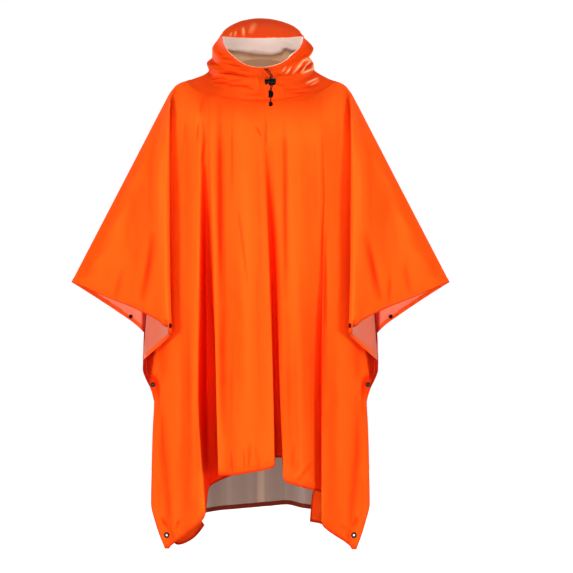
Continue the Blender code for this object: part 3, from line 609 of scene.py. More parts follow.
def ring_points(ring, degrees):
    """Points of a ring. 0 is the chin, 90 the left side, 180 the back and 270 the right side."""
    turn = np.radians(degrees)
    across, along = np.sin(turn), np.cos(turn)
    bend = 1.25
    front = along > 0
    width = np.where(across > 0, ring.left, ring.right)
    end_y = np.where(front, ring.chin_y, ring.back_y)
    end_z = np.where(front, ring.chin_z, ring.back_z)
    rise = np.where(front, bend, ring.back_power)
    return np.stack([-width * across,
                     ring.side_y + (end_y - ring.side_y) * np.abs(along) ** bend,
                     ring.side_z + (end_z - ring.side_z) * np.abs(along) ** rise], axis=-1)


# %% [markdown]
# ## The fold tables
# One row for each fold line of a body panel. On the real cloth these are the crests and valleys that run
# from the shoulders and the neckline down to the hem, so a panel is lofted across them, as a sailmaker fairs
# a sail.

# %% Driving sizes
SHOULDER = (0.217, -0.038)    # x, z of the shoulder's corner
TIP = (0.453, -0.495)         # x, z where the arm line meets the side edge
PLEAT_TOP_X = 0.205
CREASE_TOP_X = 0.2148
CHEST_Z, WAIST_Z, THIGH_Z = -0.15, -0.45, -0.75
PLEAT_END_Z = -0.681
CREASE_ROUND = (0.0078, 0.0140, 0.006)

Fold = namedtuple("Fold", "name top_x chest_x waist_x thigh_x hem_x chest_y waist_y thigh_y hem_y hem_z")

# %% Front folds, from the left side to the right
FRONT_FOLDS = [
    Fold("side_layer_left", -0.1975, -0.212, -0.236, -0.238, -0.213, -0.058, -0.042, -0.034, -0.0558, -1.1230),
    Fold("side_crest_left", -0.1830, -0.183, -0.190, -0.210, -0.200, -0.078, -0.085, -0.070, -0.0664, -1.1120),
    Fold("side_lip_left", -0.1521, -0.142, -0.146, -0.149, -0.131, -0.108, -0.115, -0.105, -0.088, -1.0488),
    Fold("valley_left", -0.1379, -0.131, -0.129, -0.127, -0.125, -0.106, -0.062, -0.020, 0.010, -0.9915),
    Fold("valley_turn_left", -0.1236, -0.123, -0.117, -0.099, -0.065, -0.112, -0.080, -0.040, -0.015, -0.9562),
    Fold("centre_lip_left", -0.1142, -0.116, -0.109, -0.103, -0.098, -0.122, -0.135, -0.140, -0.135, -0.9516),
    Fold("centre_dip", -0.0905, -0.092, -0.087, -0.080, -0.073, -0.128, -0.143, -0.152, -0.150, -0.9508),
    Fold("centre_crest", -0.0407, -0.040, -0.035, -0.030, -0.026, -0.148, -0.168, -0.172, -0.170, -0.9433),
    Fold("centre_lip_right", 0.0043, 0.005, 0.020, 0.030, 0.0335, -0.143, -0.155, -0.158, -0.155, -0.9288),
    Fold("gap_left", 0.0150, 0.014, 0.026, 0.0325, 0.0365, -0.139, -0.118, -0.104, -0.098, -0.9110),
    Fold("gap_right", 0.0180, 0.018, 0.032, 0.0430, 0.0520, -0.139, -0.117, -0.103, -0.098, -0.9110),
    Fold("right_lip", 0.0304, 0.031, 0.040, 0.0475, 0.0560, -0.137, -0.130, -0.135, -0.135, -0.9618),
    Fold("right_crest", 0.0683, 0.066, 0.078, 0.090, 0.097, -0.136, -0.140, -0.137, -0.132, -0.9786),
    Fold("right_edge", 0.1276, 0.144, 0.142, 0.145, 0.149, -0.112, -0.106, -0.078, -0.062, -0.9979),
    Fold("right_turn", 0.1418, 0.151, 0.154, 0.161, 0.168, -0.106, -0.101, -0.088, -0.076, -1.0253),
    Fold("side_lip_right", 0.1536, 0.156, 0.149, 0.146, 0.146, -0.100, -0.113, -0.110, -0.100, -1.0657),
    Fold("side_crest_right", 0.1830, 0.184, 0.190, 0.210, 0.200, -0.078, -0.085, -0.070, -0.0664, -1.1120),
    Fold("side_layer_right", 0.1975, 0.212, 0.236, 0.238, 0.213, -0.058, -0.042, -0.034, -0.0558, -1.1230),
]

# %% Back folds
BACK_FOLDS = [
    Fold("wrap_edge_left", -0.2010, -0.225, -0.261, -0.240, -0.1655, 0.052, 0.062, 0.018, -0.044, -1.1102),
    Fold("wrap_left", -0.1990, -0.221, -0.255, -0.240, -0.1972, 0.060, 0.070, 0.036, -0.036, -1.1225),
    Fold("wrap_side_left", -0.1940, -0.209, -0.237, -0.234, -0.232, 0.076, 0.088, 0.070, 0.032, -1.0850),
    Fold("side_crest_left", -0.1800, -0.185, -0.200, -0.212, -0.208, 0.094, 0.112, 0.112, 0.106, -1.0720),
    Fold("side_dip_left", -0.1560, -0.156, -0.163, -0.172, -0.172, 0.108, 0.108, 0.098, 0.088, -1.0640),
    Fold("outer_crest_left", -0.1200, -0.116, -0.116, -0.122, -0.126, 0.124, 0.136, 0.142, 0.144, -1.0560),
    Fold("inner_dip_left", -0.0720, -0.070, -0.072, -0.076, -0.080, 0.131, 0.128, 0.120, 0.112, -1.0480),
    Fold("inner_crest_left", -0.0300, -0.026, -0.024, -0.026, -0.028, 0.139, 0.147, 0.152, 0.154, -1.0462),
    Fold("centre_dip", 0.0200, 0.020, 0.018, 0.016, 0.014, 0.138, 0.133, 0.124, 0.116, -1.0400),
    Fold("inner_crest_right", 0.0700, 0.068, 0.066, 0.064, 0.062, 0.136, 0.145, 0.152, 0.154, -1.0385),
    Fold("inner_dip_right", 0.1120, 0.108, 0.106, 0.106, 0.104, 0.126, 0.122, 0.114, 0.106, -1.0440),
    Fold("outer_crest_right", 0.1420, 0.144, 0.148, 0.150, 0.148, 0.116, 0.127, 0.130, 0.128, -1.0520),
    Fold("side_dip_right", 0.1660, 0.166, 0.172, 0.180, 0.180, 0.102, 0.102, 0.094, 0.084, -1.0620),
    Fold("side_crest_right", 0.1830, 0.188, 0.202, 0.214, 0.208, 0.092, 0.109, 0.110, 0.102, -1.0720),
    Fold("wrap_side_right", 0.1940, 0.209, 0.237, 0.234, 0.232, 0.076, 0.088, 0.070, 0.032, -1.0850),
    Fold("wrap_right", 0.1990, 0.221, 0.255, 0.240, 0.1950, 0.060, 0.070, 0.036, -0.036, -1.0980),
    Fold("wrap_edge_right", 0.2010, 0.225, 0.261, 0.240, 0.1650, 0.052, 0.062, 0.018, -0.042, -1.0800),
]

# %% The side edges: the pleat's inner fold and, below it, the cut edge and the line next to it
Edge = namedtuple("Edge", "z x y strip_x strip_y strip_z", defaults=(0.0,))

FRONT_EDGE = [
    Edge(CHEST_Z, -0.2350, -0.045, 0.007, 0.005),
    Edge(WAIST_Z, -0.2620, -0.050, 0.014, 0.012),
    Edge(PLEAT_END_Z, -0.2798, -0.030, 0.014, 0.010),
    Edge(-0.7050, -0.2818, -0.018, 0.017, 0.003),
    Edge(-0.7240, -0.2760, -0.008, 0.019, 0.000),
    Edge(-0.7430, -0.2670, -0.004, 0.019, 0.000),
    Edge(-0.7600, -0.2580, -0.006, 0.014, -0.004),
    Edge(-0.7800, -0.2545, -0.010, 0.011, -0.008),
    Edge(-0.8490, -0.2575, -0.018, 0.010, -0.010),
    Edge(-0.9200, -0.2593, -0.026, 0.010, -0.010),
    Edge(-1.0223, -0.2610, -0.036, 0.011, -0.009),
    Edge(-1.0696, -0.2502, -0.043, 0.010, -0.006),
    Edge(-1.1300, -0.2274, -0.050, 0.009, -0.0054),
]
FRONT_RIGHT_END = [Edge(-1.1318, -0.2288, -0.050, 0.009, -0.0054)]

BACK_EDGE = [
    Edge(CHEST_Z, -0.2320, 0.042, 0.004, 0.006),
    Edge(WAIST_Z, -0.2680, 0.048, 0.004, 0.008),
    Edge(PLEAT_END_Z, -0.2829, 0.020, 0.008, 0.008),
    Edge(-0.7050, -0.2825, 0.008, 0.017, 0.001),
    Edge(-0.7240, -0.2765, 0.003, 0.019, 0.000),
    Edge(-0.7430, -0.2670, 0.003, 0.019, 0.000),
    Edge(-0.7600, -0.2610, 0.003, 0.014, 0.000),
    Edge(-0.8000, -0.2500, 0.004, -0.002, 0.007),
    Edge(-0.8600, -0.2380, 0.000, -0.008, 0.006),
    Edge(-0.9300, -0.2190, -0.012, -0.012, 0.004),
    Edge(-1.0000, -0.1850, -0.028, -0.014, 0.002, -0.005),
    Edge(-1.0745, -0.1330, -0.045, -0.014, 0.000, -0.019),
]
BACK_RIGHT_END = [
    Edge(-0.9300, -0.1960, -0.018, -0.012, 0.004),
    Edge(-1.0000, -0.1240, -0.042, -0.018, 0.002),
    Edge(-1.0663, -0.1180, -0.046, -0.022, -0.0019, -0.004),
]

# %% The wings: where their side edges hang, and the pleats' outer creases
Hang = namedtuple("Hang", "x z y")
FRONT_HANG = [
    Hang(-0.2300, -0.5930, -0.106),
    Hang(-0.2450, -0.5850, -0.101),
    Hang(-0.2845, -0.5634, -0.082),
    Hang(-0.3300, -0.5450, -0.062),
    Hang(-0.3731, -0.5279, -0.045),
    Hang(-0.4250, -0.5060, -0.016),
    Hang(-TIP[0], TIP[1], RIDGE_Y - SEAM_GAP),
]
BACK_HANG = [
    Hang(-0.2700, -0.6380, 0.094),
    Hang(-0.2831, -0.6299, 0.090),
    Hang(-0.2952, -0.6057, 0.086),
    Hang(-0.3211, -0.5846, 0.078),
    Hang(-0.3855, -0.5394, 0.048),
    Hang(-0.4380, -0.5045, 0.014),
    Hang(-TIP[0], TIP[1], RIDGE_Y + SEAM_GAP),
]
PleatCrease = namedtuple("PleatCrease", "z x y")
FRONT_PLEAT = [
    PleatCrease(CHEST_Z, -0.2155, -0.078),
    PleatCrease(WAIST_Z, -0.2140, -0.100),
    PleatCrease(-0.6201, -0.2095, -0.103),
]
BACK_PLEAT = [
    PleatCrease(CHEST_Z, -0.2220, 0.084),
    PleatCrease(WAIST_Z, -0.2420, 0.112),
    PleatCrease(-0.6450, -0.2600, 0.086),
]

# %% [markdown]
# ## From folds to lines
# A line starts on the neckline or the shoulder, arches over the body and then falls through its fold's
# places. Lines beside each other are joined by the same smooth course across them, so crests and valleys
# stay round. A cloth simulation could drape the rectangle instead, but it wouldn't put each fold where it
# belongs.

# %% Where a line starts and how it falls
def ridge_z(x):
    """Height of the shoulder and arm line."""
    corner_x, corner_z = SHOULDER
    arm_slope = (TIP[1] - corner_z) / (TIP[0] - corner_x)
    rounding = 0.004
    if abs(x) > corner_x + rounding:
        return corner_z + (abs(x) - corner_x) * arm_slope
    knots = (NECK_HALF, 0.190, 0.205, corner_x + rounding)
    heights = (HOOD_RINGS[0].side_z, -0.0155, -0.0245, corner_z + rounding * arm_slope)
    return float(smooth(knots, heights, max(abs(x), NECK_HALF)))


def top_point(x, side):
    """Where a line starts: on the neckline, or outside it on the shoulder line. side is -1 for the front."""
    if abs(x) < NECK_HALF:
        turn = math.degrees(math.asin(-x / NECK_HALF))
        return ring_points(HOOD_RINGS[0], turn if side < 0 else 180 - turn)
    return np.array([x, RIDGE_Y + side * SEAM_GAP, ridge_z(x)])


def arch_power(x):
    """How squarely cloth turns down from its top: softly below the neckline, roundly over the shoulder."""
    return 1.6 + 1.6 * min(max((abs(x) - 0.12) / 0.06, 0.0), 1.0)


def falling_line(top, passes, drops):
    """A line from top through (z, x, y) passes, at shares of its drop."""
    first = passes[0]
    depths = [(top[2], top[1])]
    for share in (0.12, 0.35, 0.65):
        rise = 1 - (1 - share) ** arch_power(top[0])
        depths.append((top[2] + (first[0] - top[2]) * share, top[1] + (first[2] - top[1]) * rise))
    depths += [(z, y) for z, x, y in passes]
    places = [(top[2], top[0])] + [(z, x) for z, x, y in passes]
    heights = top[2] + (passes[-1][0] - top[2]) * np.asarray(drops)
    xs = smooth([z for z, x in places], [x for z, x in places], heights)
    ys = smooth([z for z, y in depths], [y for z, y in depths], heights)
    return np.stack([xs, ys, heights], axis=-1)


def column_places(splits):
    """Where each column lies, counted in lines, when the stretch after line i is split into splits[i]."""
    return np.array([i + s / n for i, n in enumerate(splits) for s in range(n)] + [len(splits)], float)


def between(lines, splits):
    """The lines with more of them put in between, on a smooth course across each row."""
    lines = np.asarray(lines)
    knots = np.arange(len(lines))
    at = column_places(splits)
    made = np.empty((len(at), lines.shape[1], 3))
    for row in range(lines.shape[1]):
        for axis in range(3):
            made[:, row, axis] = smooth(knots, lines[:, row, axis], at)
    return made


def splits_for(lines, spacing):
    """How many columns each stretch between two lines takes, for that spacing on the cloth."""
    gaps = [np.linalg.norm(b - a, axis=1).mean() for a, b in zip(lines, lines[1:])]
    return [max(2, math.ceil(g / spacing)) for g in gaps]


# %% Rows: close together over the shoulder and at the hems, even elsewhere
ROW_SPACING = 0.0078
COLUMN_SPACING = 0.0038
HEM_ROWS = (0.0, 0.0012, 0.0098, 0.0116)


def shares_of(drop, top_rows):
    """Shares of a drop: the given rows at its top, even rows, and the hem's rows at its end."""
    last_even = 1 - (HEM_ROWS[-1] + 0.5 * ROW_SPACING) / drop
    count = math.ceil((last_even - top_rows[-1]) * drop / ROW_SPACING)
    even = np.linspace(top_rows[-1], last_even, count + 1)[1:]
    hem = [1 - d / drop for d in HEM_ROWS[::-1]]
    return np.array([*top_rows, *even, *hem])


UPPER = shares_of(ridge_z(PLEAT_TOP_X) - PLEAT_END_Z, (0.0, 0.004, 0.010, 0.018, 0.028))
LOWER = shares_of(PLEAT_END_Z + 1.10, (0.0,))[1:]


def row_shares(corner_z):
    """Shares of the drop for a body panel's rows: those beside the pleat, then those below it."""
    top = ridge_z(PLEAT_TOP_X)
    pleat = (top - PLEAT_END_Z) / (top - corner_z)
    return np.array([*(pleat * UPPER), *(pleat + (1 - pleat) * LOWER)])


print(f"{len(UPPER)} rows beside the pleat and {len(LOWER)} below it")


# %% The lines of a body panel and of a wing
def mirrored(line):
    return line * np.array([-1, 1, 1])


def edge_lines(edges, side, drops):
    """The pleat's inner fold with the cut edge below it, and the next line inside it."""
    edge = [(e.z, e.x, e.y) for e in edges]
    strip = [(e.z + e.strip_z, e.x + e.strip_x, e.y + e.strip_y) for e in edges]
    strip_inset = 0.0025
    return [falling_line(top_point(-PLEAT_TOP_X, side), edge, drops),
            falling_line(top_point(-PLEAT_TOP_X + strip_inset, side), strip, drops)]


def fold_line(fold, side, drops):
    passes = [(CHEST_Z, fold.chest_x, fold.chest_y),
              (WAIST_Z, fold.waist_x, fold.waist_y),
              (THIGH_Z, fold.thigh_x, fold.thigh_y),
              (fold.hem_z, fold.hem_x, fold.hem_y)]
    return falling_line(top_point(fold.top_x, side), passes, drops)


def body_lines(folds, edges, right_end, side):
    drops = row_shares(edges[-1].z)
    left = edge_lines(edges, side, drops)
    right = [mirrored(line) for line in edge_lines(edges[:-len(right_end)] + right_end, side, drops)]
    return left + [fold_line(f, side, drops) for f in folds] + right[::-1]


# %% The lines of a wing
BAND_X = (-0.4530, -0.4003, -0.3516, -0.2525, -0.2170)
BAND_SHARE = (1.0, 0.58, 0.30, 0.05, 0.03)
BAND_SHARPNESS = 45.0
SHOULDER_POWER, POWER_FALL = 6.5, 4.0     # how squarely a wing turns down at the shoulder, and less at the tip


def wing_line(x, hang, side):
    """A line of the wing: a flat band beside the arm line, a soft bend, and then nearly straight down."""
    top = top_point(x, side)
    end_z = float(smooth([h.x for h in hang], [h.z for h in hang], x))
    end_y = float(smooth([h.x for h in hang], [h.y for h in hang], x))
    reach = (abs(x) - SHOULDER[0]) / (TIP[0] - SHOULDER[0])
    power = SHOULDER_POWER - POWER_FALL * reach
    arched = 1 - (1 - UPPER) ** power
    bend = float(smooth(BAND_X, BAND_SHARE, x))
    at_bend = 1 - (1 - bend) ** power
    band = at_bend * UPPER / bend
    below = at_bend + (1 - at_bend) * (UPPER - bend) / max(1 - bend, 0.05)
    bent = -np.log(np.exp(-BAND_SHARPNESS * band) + np.exp(-BAND_SHARPNESS * below)) / BAND_SHARPNESS
    amount = float(step_up(reach, 0.1, 0.3) * step_down(reach, 0.85, 0.97))
    course = arched + (bent - arched) * amount
    return np.stack([np.full(len(UPPER), x),
                     top[1] + (end_y - top[1]) * course,
                     top[2] + (end_z - top[2]) * UPPER], axis=-1)


# %% A wing, and the pleat's middle layer
WING_X = (-0.237, -0.265, -0.30, -0.34, -0.38, -0.415, -0.440)
WING_SPACING = 0.0055
OPENING_RATE = 2.2            # the rounding at the pleat's crease is full at 1 / 2.2 of the drop


def wing_lines(inner_fold, crease, hang, side):
    """The wing from the tip in to the pleat's outer crease, and the layer from there to the inner fold.

    A line of the wing starts only where the crease, which leans outward on its way down, is left behind.
    """
    fold = inner_fold[:len(UPPER)]
    edge = falling_line(top_point(-CREASE_TOP_X, side), [tuple(c) for c in crease], UPPER)
    across, forward, up = CREASE_ROUND
    open_share = np.minimum(1.0, OPENING_RATE * UPPER)[:, None]
    lip = edge + np.array([-across, side * forward, up]) * open_share
    lip[0] = top_point(-CREASE_TOP_X - across / 2, side)
    tip = np.tile([hang[-1].x, hang[-1].y, hang[-1].z], (len(UPPER), 1))
    beyond = [x for x in WING_X if x < min(c.x for c in crease)]
    outer = [edge, lip, *(wing_line(x, hang, side) for x in beyond), tip]
    wing = between(outer, splits_for(outer, WING_SPACING))
    layer_columns = 6
    layer = [fold + (edge - fold) * c / layer_columns for c in range(layer_columns)]
    return [*wing[::-1], *layer[::-1]]


# %% [markdown]
# ## Creases
# Large folds come from the tables. What makes it cloth is what lies on them: drag lines from the neck, soft
# dents where a fold dies out, sharp little lines where it was packed, and puckers beside each row of
# stitches. Sculpting by hand would do it too, but a script can be read and changed. Each crease is a row of
# a table: where it starts and ends, how it bows, how wide it is, how far it stands out or sinks in, and its
# tone, which is painted shine where positive and painted shade where negative. The push fades at both
# ends. It moves a panel to the front or the back, and the hood along its normal.

# %% A crease as a push along the normal
# tone: painted shine where positive, painted shade where negative.
Crease = namedtuple("Crease", "x1 z1 x2 z2 bow width height tone", defaults=(0.0,))


def crease_shape(c, x, z):
    """How strongly a crease works at each place x, z, from 0 to 1."""
    run = np.array([c.x2 - c.x1, c.z2 - c.z1])
    length = np.hypot(*run)
    run = run / length
    along = ((x - c.x1) * run[0] + (z - c.z1) * run[1]) / length
    off = (x - c.x1) * -run[1] + (z - c.z1) * run[0] - c.bow * 4 * along * (1 - along)
    fade = np.sin(np.pi * np.clip(along, 0, 1)) ** 0.8
    return fade * np.exp(-(off / c.width) ** 2)


def crease_push(creases, x, z):
    return sum(c.height * crease_shape(c, x, z) for c in creases)


def crease_tone(creases, x, z, sign):
    """Where the creases with painted shine (sign 1) or painted shade (sign -1) have it, from 0 to 1."""
    toned = [c for c in creases if c.tone * sign > 0]
    return sum((abs(c.tone) * crease_shape(c, x, z) for c in toned), np.zeros(len(x)))


# %% Creases of the front
FRONT_CREASES = [
    Crease(-0.0972, -0.0714, -0.0924, -0.5371, 0.0000, 0.0090, -0.0050),
    Crease(-0.0924, -0.5135, -0.0877, -0.8681, 0.0000, 0.0100, -0.0030),
    Crease(-0.0664, -0.0809, -0.0664, -0.3054, 0.0000, 0.0035, -0.0016),
    Crease(-0.0537, -0.3054, -0.0258, -0.5371, 0.0012, 0.0032, -0.0019),
    Crease(-0.0286, -0.1352, -0.0239, -0.8728, 0.0000, 0.0160, 0.0035),
    Crease(-0.0121, -0.1251, 0.0054, -0.1530, 0.0000, 0.0032, -0.0022),
    Crease(0.0151, -0.1038, 0.0139, -0.1731, 0.0000, 0.0035, -0.0020),
    Crease(0.0068, -0.1210, 0.0139, -0.1731, 0.0000, 0.0030, -0.0012),
    Crease(0.0577, -0.0880, 0.0600, -0.5371, 0.0000, 0.0080, -0.0040),
    Crease(0.0920, -0.2203, 0.0943, -0.3362, 0.0000, 0.0040, 0.0012),
    Crease(0.1475, -0.0549, 0.1475, -0.3054, 0.0000, 0.0045, -0.0018),
    Crease(0.1546, -0.3669, 0.1558, -0.6080, 0.0000, 0.0055, -0.0032),
    Crease(0.1298, -0.0596, 0.1558, -0.0371, -0.0036, 0.0040, 0.0016),
    Crease(0.0896, -0.0454, 0.1050, -0.0454, 0.0000, 0.0030, 0.0012),
    Crease(-0.1350, -0.0549, -0.1444, -0.1069, 0.0000, 0.0035, -0.0022),
    Crease(-0.1444, -0.1021, -0.1515, -0.1660, 0.0000, 0.0035, -0.0024),
    Crease(-0.1279, -0.1281, -0.1421, -0.2345, 0.0024, 0.0040, -0.0030),
    Crease(-0.1232, -0.0643, -0.1326, -0.1210, 0.0000, 0.0040, 0.0014),
    Crease(-0.1705, -0.0501, -0.1823, -0.1825, 0.0000, 0.0060, -0.0018),
    Crease(0.1889, -0.0454, 0.1841, -0.1825, 0.0000, 0.0060, -0.0016),
    Crease(0.1203, -0.9106, 0.0801, -0.9567, 0.0000, 0.0035, 0.0024),
    Crease(0.1262, -0.9177, 0.0872, -0.9650, 0.0000, 0.0035, -0.0018),
    Crease(0.1014, -0.9295, 0.1392, -0.9886, 0.0000, 0.0045, 0.0015),
    Crease(0.0801, -0.8681, 0.0754, -0.9390, 0.0000, 0.0040, -0.0014),
    Crease(-0.0688, -0.8870, -0.0641, -0.9485, 0.0000, 0.0028, -0.0015),
    Crease(-0.0546, -0.8728, -0.0499, -0.9461, 0.0000, 0.0028, 0.0013),
    Crease(-0.0381, -0.8823, -0.0357, -0.9461, 0.0000, 0.0026, -0.0014),
    Crease(-0.0239, -0.8633, -0.0262, -0.9437, 0.0000, 0.0030, -0.0016),
    Crease(-0.0097, -0.8775, -0.0026, -0.9390, 0.0000, 0.0026, -0.0014),
    Crease(0.0045, -0.8823, 0.0045, -0.9343, 0.0000, 0.0026, 0.0012),
    Crease(0.2350, -1.0548, 0.2191, -1.0785, 0.0000, 0.0032, -0.0022),
    Crease(0.2432, -1.0666, 0.2291, -1.0856, 0.0000, 0.0028, 0.0014),
    Crease(0.1889, -1.0666, 0.2090, -1.0879, 0.0000, 0.0030, -0.0016),
    Crease(0.2054, -1.0548, 0.2137, -1.0785, 0.0000, 0.0030, 0.0012),
    Crease(-0.2378, -1.0548, -0.2215, -1.0785, 0.0000, 0.0032, -0.0022),
    Crease(-0.1905, -1.0560, -0.2024, -1.0820, 0.0000, 0.0032, -0.0018),
    Crease(-0.2154, -1.0501, -0.2166, -1.0761, 0.0000, 0.0030, 0.0013),
    Crease(-0.2461, -1.0714, -0.2319, -1.0879, 0.0000, 0.0028, 0.0012),
    Crease(-0.2478, -0.9390, -0.2414, -1.0761, 0.0000, 0.0070, -0.0022),
    Crease(0.2480, -0.9390, 0.2409, -1.0761, 0.0000, 0.0070, -0.0022),
    Crease(0.2350, -0.1199, 0.2586, -0.1182, 0.0000, 0.0030, -0.0022),
    Crease(-0.2511, -0.3693, -0.2816, -0.5418, 0.0014, 0.0100, -0.0060),
    Crease(0.2466, -0.3693, 0.2882, -0.5418, -0.0014, 0.0100, -0.0060),
    Crease(0.3090, -0.4756, 0.3054, -0.5418, 0.0000, 0.0045, -0.0022),
    Crease(-0.3288, -0.4615, -0.3478, -0.5371, 0.0000, 0.0090, -0.0022),
    Crease(0.3402, -0.4473, 0.3591, -0.5182, 0.0000, 0.0090, -0.0020),
    Crease(-0.2981, -0.2534, -0.3265, -0.4473, 0.0000, 0.0120, -0.0016),
    Crease(0.2976, -0.2440, 0.3307, -0.4473, 0.0000, 0.0120, -0.0016),
    Crease(-0.1988, -0.6080, -0.1941, -0.9390, 0.0000, 0.0120, 0.0020),
    Crease(0.1983, -0.6080, 0.1936, -0.9390, 0.0000, 0.0120, 0.0020),
    Crease(-0.1705, -0.5608, -0.1657, -0.9390, 0.0000, 0.0060, -0.0012),
    Crease(0.0943, -0.5371, 0.1014, -0.8917, 0.0000, 0.0080, 0.0018),
    Crease(0.1227, -0.6080, 0.1250, -0.8681, 0.0000, 0.0060, -0.0014),
    Crease(-0.0664, -0.6080, -0.0688, -0.8917, 0.0000, 0.0060, -0.0014),
]

# %% Painted shade on stretches of the front: the depths of its folds, where light comes only from the cloth around
FRONT_SHADES = [
    Crease(-0.1350, -0.1235, -0.1300, -0.6435, -0.0040, 0.0070, 0, -0.50),
    Crease(-0.1350, -0.0549, -0.1515, -0.1660, 0.0000, 0.0040, 0, -0.35),
    Crease(0.0180, -0.1500, 0.0290, -0.6000, 0.0000, 0.0050, 0, -0.60),
    Crease(-0.1760, -0.5200, -0.1720, -1.2600, 0.0000, 0.0170, 0, -0.48),
    Crease(0.0960, -0.4200, 0.0960, -1.0600, 0.0000, 0.0160, 0, -0.52),
    Crease(0.1700, -0.6600, 0.1700, -1.1800, 0.0000, 0.0140, 0, -0.36),
    Crease(-0.0500, -0.3000, -0.0490, -0.8400, 0.0000, 0.0150, 0, -0.32),
    Crease(0.1120, -0.1000, 0.1150, -0.5600, 0.0000, 0.0150, 0, -0.28),
    Crease(-0.1700, -0.0900, -0.1660, -0.5200, 0.0000, 0.0100, 0, -0.22),
    Crease(-0.0972, -0.0350, -0.0924, -0.5840, 0.0000, 0.0090, 0, -0.45),
    Crease(-0.0900, -0.4898, -0.0854, -0.9390, 0.0000, 0.0100, 0, -0.25),
    Crease(0.0589, -0.0443, 0.0636, -0.6280, 0.0000, 0.0090, 0, -0.42),
    Crease(0.0636, -0.5371, 0.0707, -0.9390, 0.0000, 0.0090, 0, -0.22),
    Crease(0.1475, -0.0207, 0.1487, -0.3560, 0.0000, 0.0050, 0, -0.35),
    Crease(0.1546, -0.3160, 0.1487, -0.8600, 0.0000, 0.0080, 0, -0.55),
    Crease(0.1440, -0.5100, 0.1452, -1.0500, 0.0000, 0.0050, 0, -0.50),
    Crease(-0.1492, -0.5700, -0.1468, -1.0800, 0.0000, 0.0060, 0, -0.40),
    Crease(-0.0664, -0.0700, -0.0664, -0.3095, 0.0000, 0.0035, 0, -0.30),
    Crease(-0.0537, -0.3054, -0.0258, -0.5371, 0.0012, 0.0034, 0, -0.40),
    Crease(-0.0121, -0.1251, 0.0054, -0.1530, 0.0000, 0.0038, 0, -0.45),
    Crease(0.0151, -0.1038, 0.0139, -0.1731, 0.0000, 0.0038, 0, -0.40),
    Crease(-0.0073, -0.1600, 0.0045, -0.5571, 0.0000, 0.0045, 0, -0.32),
    Crease(-0.2060, -0.0540, -0.2060, -0.5571, 0.0000, 0.0045, 0, -0.50),
    Crease(0.2150, -0.0540, 0.2060, -0.5571, 0.0000, 0.0045, 0, -0.45),
    Crease(-0.2511, -0.3693, -0.2816, -0.5700, 0.0014, 0.0120, 0, -0.22),
    Crease(0.2466, -0.3693, 0.2882, -0.5700, -0.0014, 0.0120, 0, -0.22),
    Crease(0.3090, -0.4556, 0.3054, -0.5618, 0.0000, 0.0060, 0, -0.18),
    Crease(-0.3288, -0.4415, -0.3478, -0.5571, 0.0000, 0.0090, 0, -0.20),
    Crease(0.3402, -0.4273, 0.3591, -0.5382, 0.0000, 0.0090, 0, -0.20),
    Crease(0.2350, -1.0548, 0.2191, -1.0785, 0.0000, 0.0034, 0, -0.50),
    Crease(-0.2378, -1.0548, -0.2215, -1.0785, 0.0000, 0.0034, 0, -0.50),
    Crease(-0.1905, -1.0560, -0.2024, -1.0820, 0.0000, 0.0034, 0, -0.40),
    Crease(0.1262, -0.9177, 0.0872, -0.9650, 0.0000, 0.0035, 0, -0.40),
    Crease(-0.0688, -0.8870, -0.0641, -0.9485, 0.0000, 0.0030, 0, -0.35),
    Crease(-0.0381, -0.8823, -0.0357, -0.9461, 0.0000, 0.0028, 0, -0.30),
    Crease(-0.0239, -0.8633, -0.0262, -0.9437, 0.0000, 0.0032, 0, -0.35),
    Crease(-0.0097, -0.8775, -0.0026, -0.9390, 0.0000, 0.0028, 0, -0.30),
    Crease(-0.1130, -0.0900, -0.1080, -0.4300, 0.0020, 0.0028, 0, -0.32),
    Crease(-0.0850, -0.1000, -0.0810, -0.6900, 0.0000, 0.0026, 0, -0.30),
    Crease(-0.0330, -0.0950, -0.0140, -0.2900, -0.0020, 0.0026, 0, -0.28),
    Crease(-0.0080, -0.3600, 0.0010, -0.8300, 0.0000, 0.0030, 0, -0.30),
    Crease(-0.0400, -0.5200, -0.0330, -0.9000, 0.0000, 0.0026, 0, -0.26),
    Crease(0.0400, -0.0900, 0.0470, -0.4200, 0.0020, 0.0028, 0, -0.34),
    Crease(0.0810, -0.1300, 0.0900, -0.5200, 0.0000, 0.0026, 0, -0.26),
    Crease(0.1280, -0.0800, 0.1330, -0.3900, 0.0010, 0.0026, 0, -0.26),
    Crease(0.0640, -0.5600, 0.0720, -0.9300, 0.0000, 0.0028, 0, -0.30),
    Crease(0.1150, -0.5200, 0.1210, -0.9000, 0.0000, 0.0028, 0, -0.28),
    Crease(-0.2350, -0.6600, -0.2330, -1.0200, 0.0000, 0.0040, 0, -0.26),
    Crease(0.2300, -0.6500, 0.2290, -1.0300, 0.0000, 0.0040, 0, -0.26),
]

# %% Painted shade in the deep valleys of the front: from lip to lip, growing from the height 'starts' down to 'full'
Valley = namedtuple("Valley", "first last shade starts full")
FRONT_VALLEYS = (
    Valley("side_lip_left", "centre_lip_left", 0.92, -0.12, -0.82),
    Valley("centre_lip_right", "right_lip", 1.0, -0.15, -0.60),
    Valley("right_edge", "side_lip_right", 0.65, -0.20, -0.75),
)
LINES_BEFORE_FOLDS = 2        # the pleat's inner fold and the line next to it


def valley_shades(valleys, folds, splits, body):
    """Full painted shade between the two lips of each valley, from just inside them."""
    names = [f.name for f in folds]
    at = column_places(splits)
    shades = np.zeros(body.shape[:2])
    for v in valleys:
        first, last = (names.index(lip) + LINES_BEFORE_FOLDS for lip in (v.first, v.last))
        across = step_up(at, first, first + 0.15) * step_down(at, last - 0.09, last + 0.01)
        shades += v.shade * across[:, None] * step_up(-body[:, :, 2], -v.starts, -v.full)
    return shades


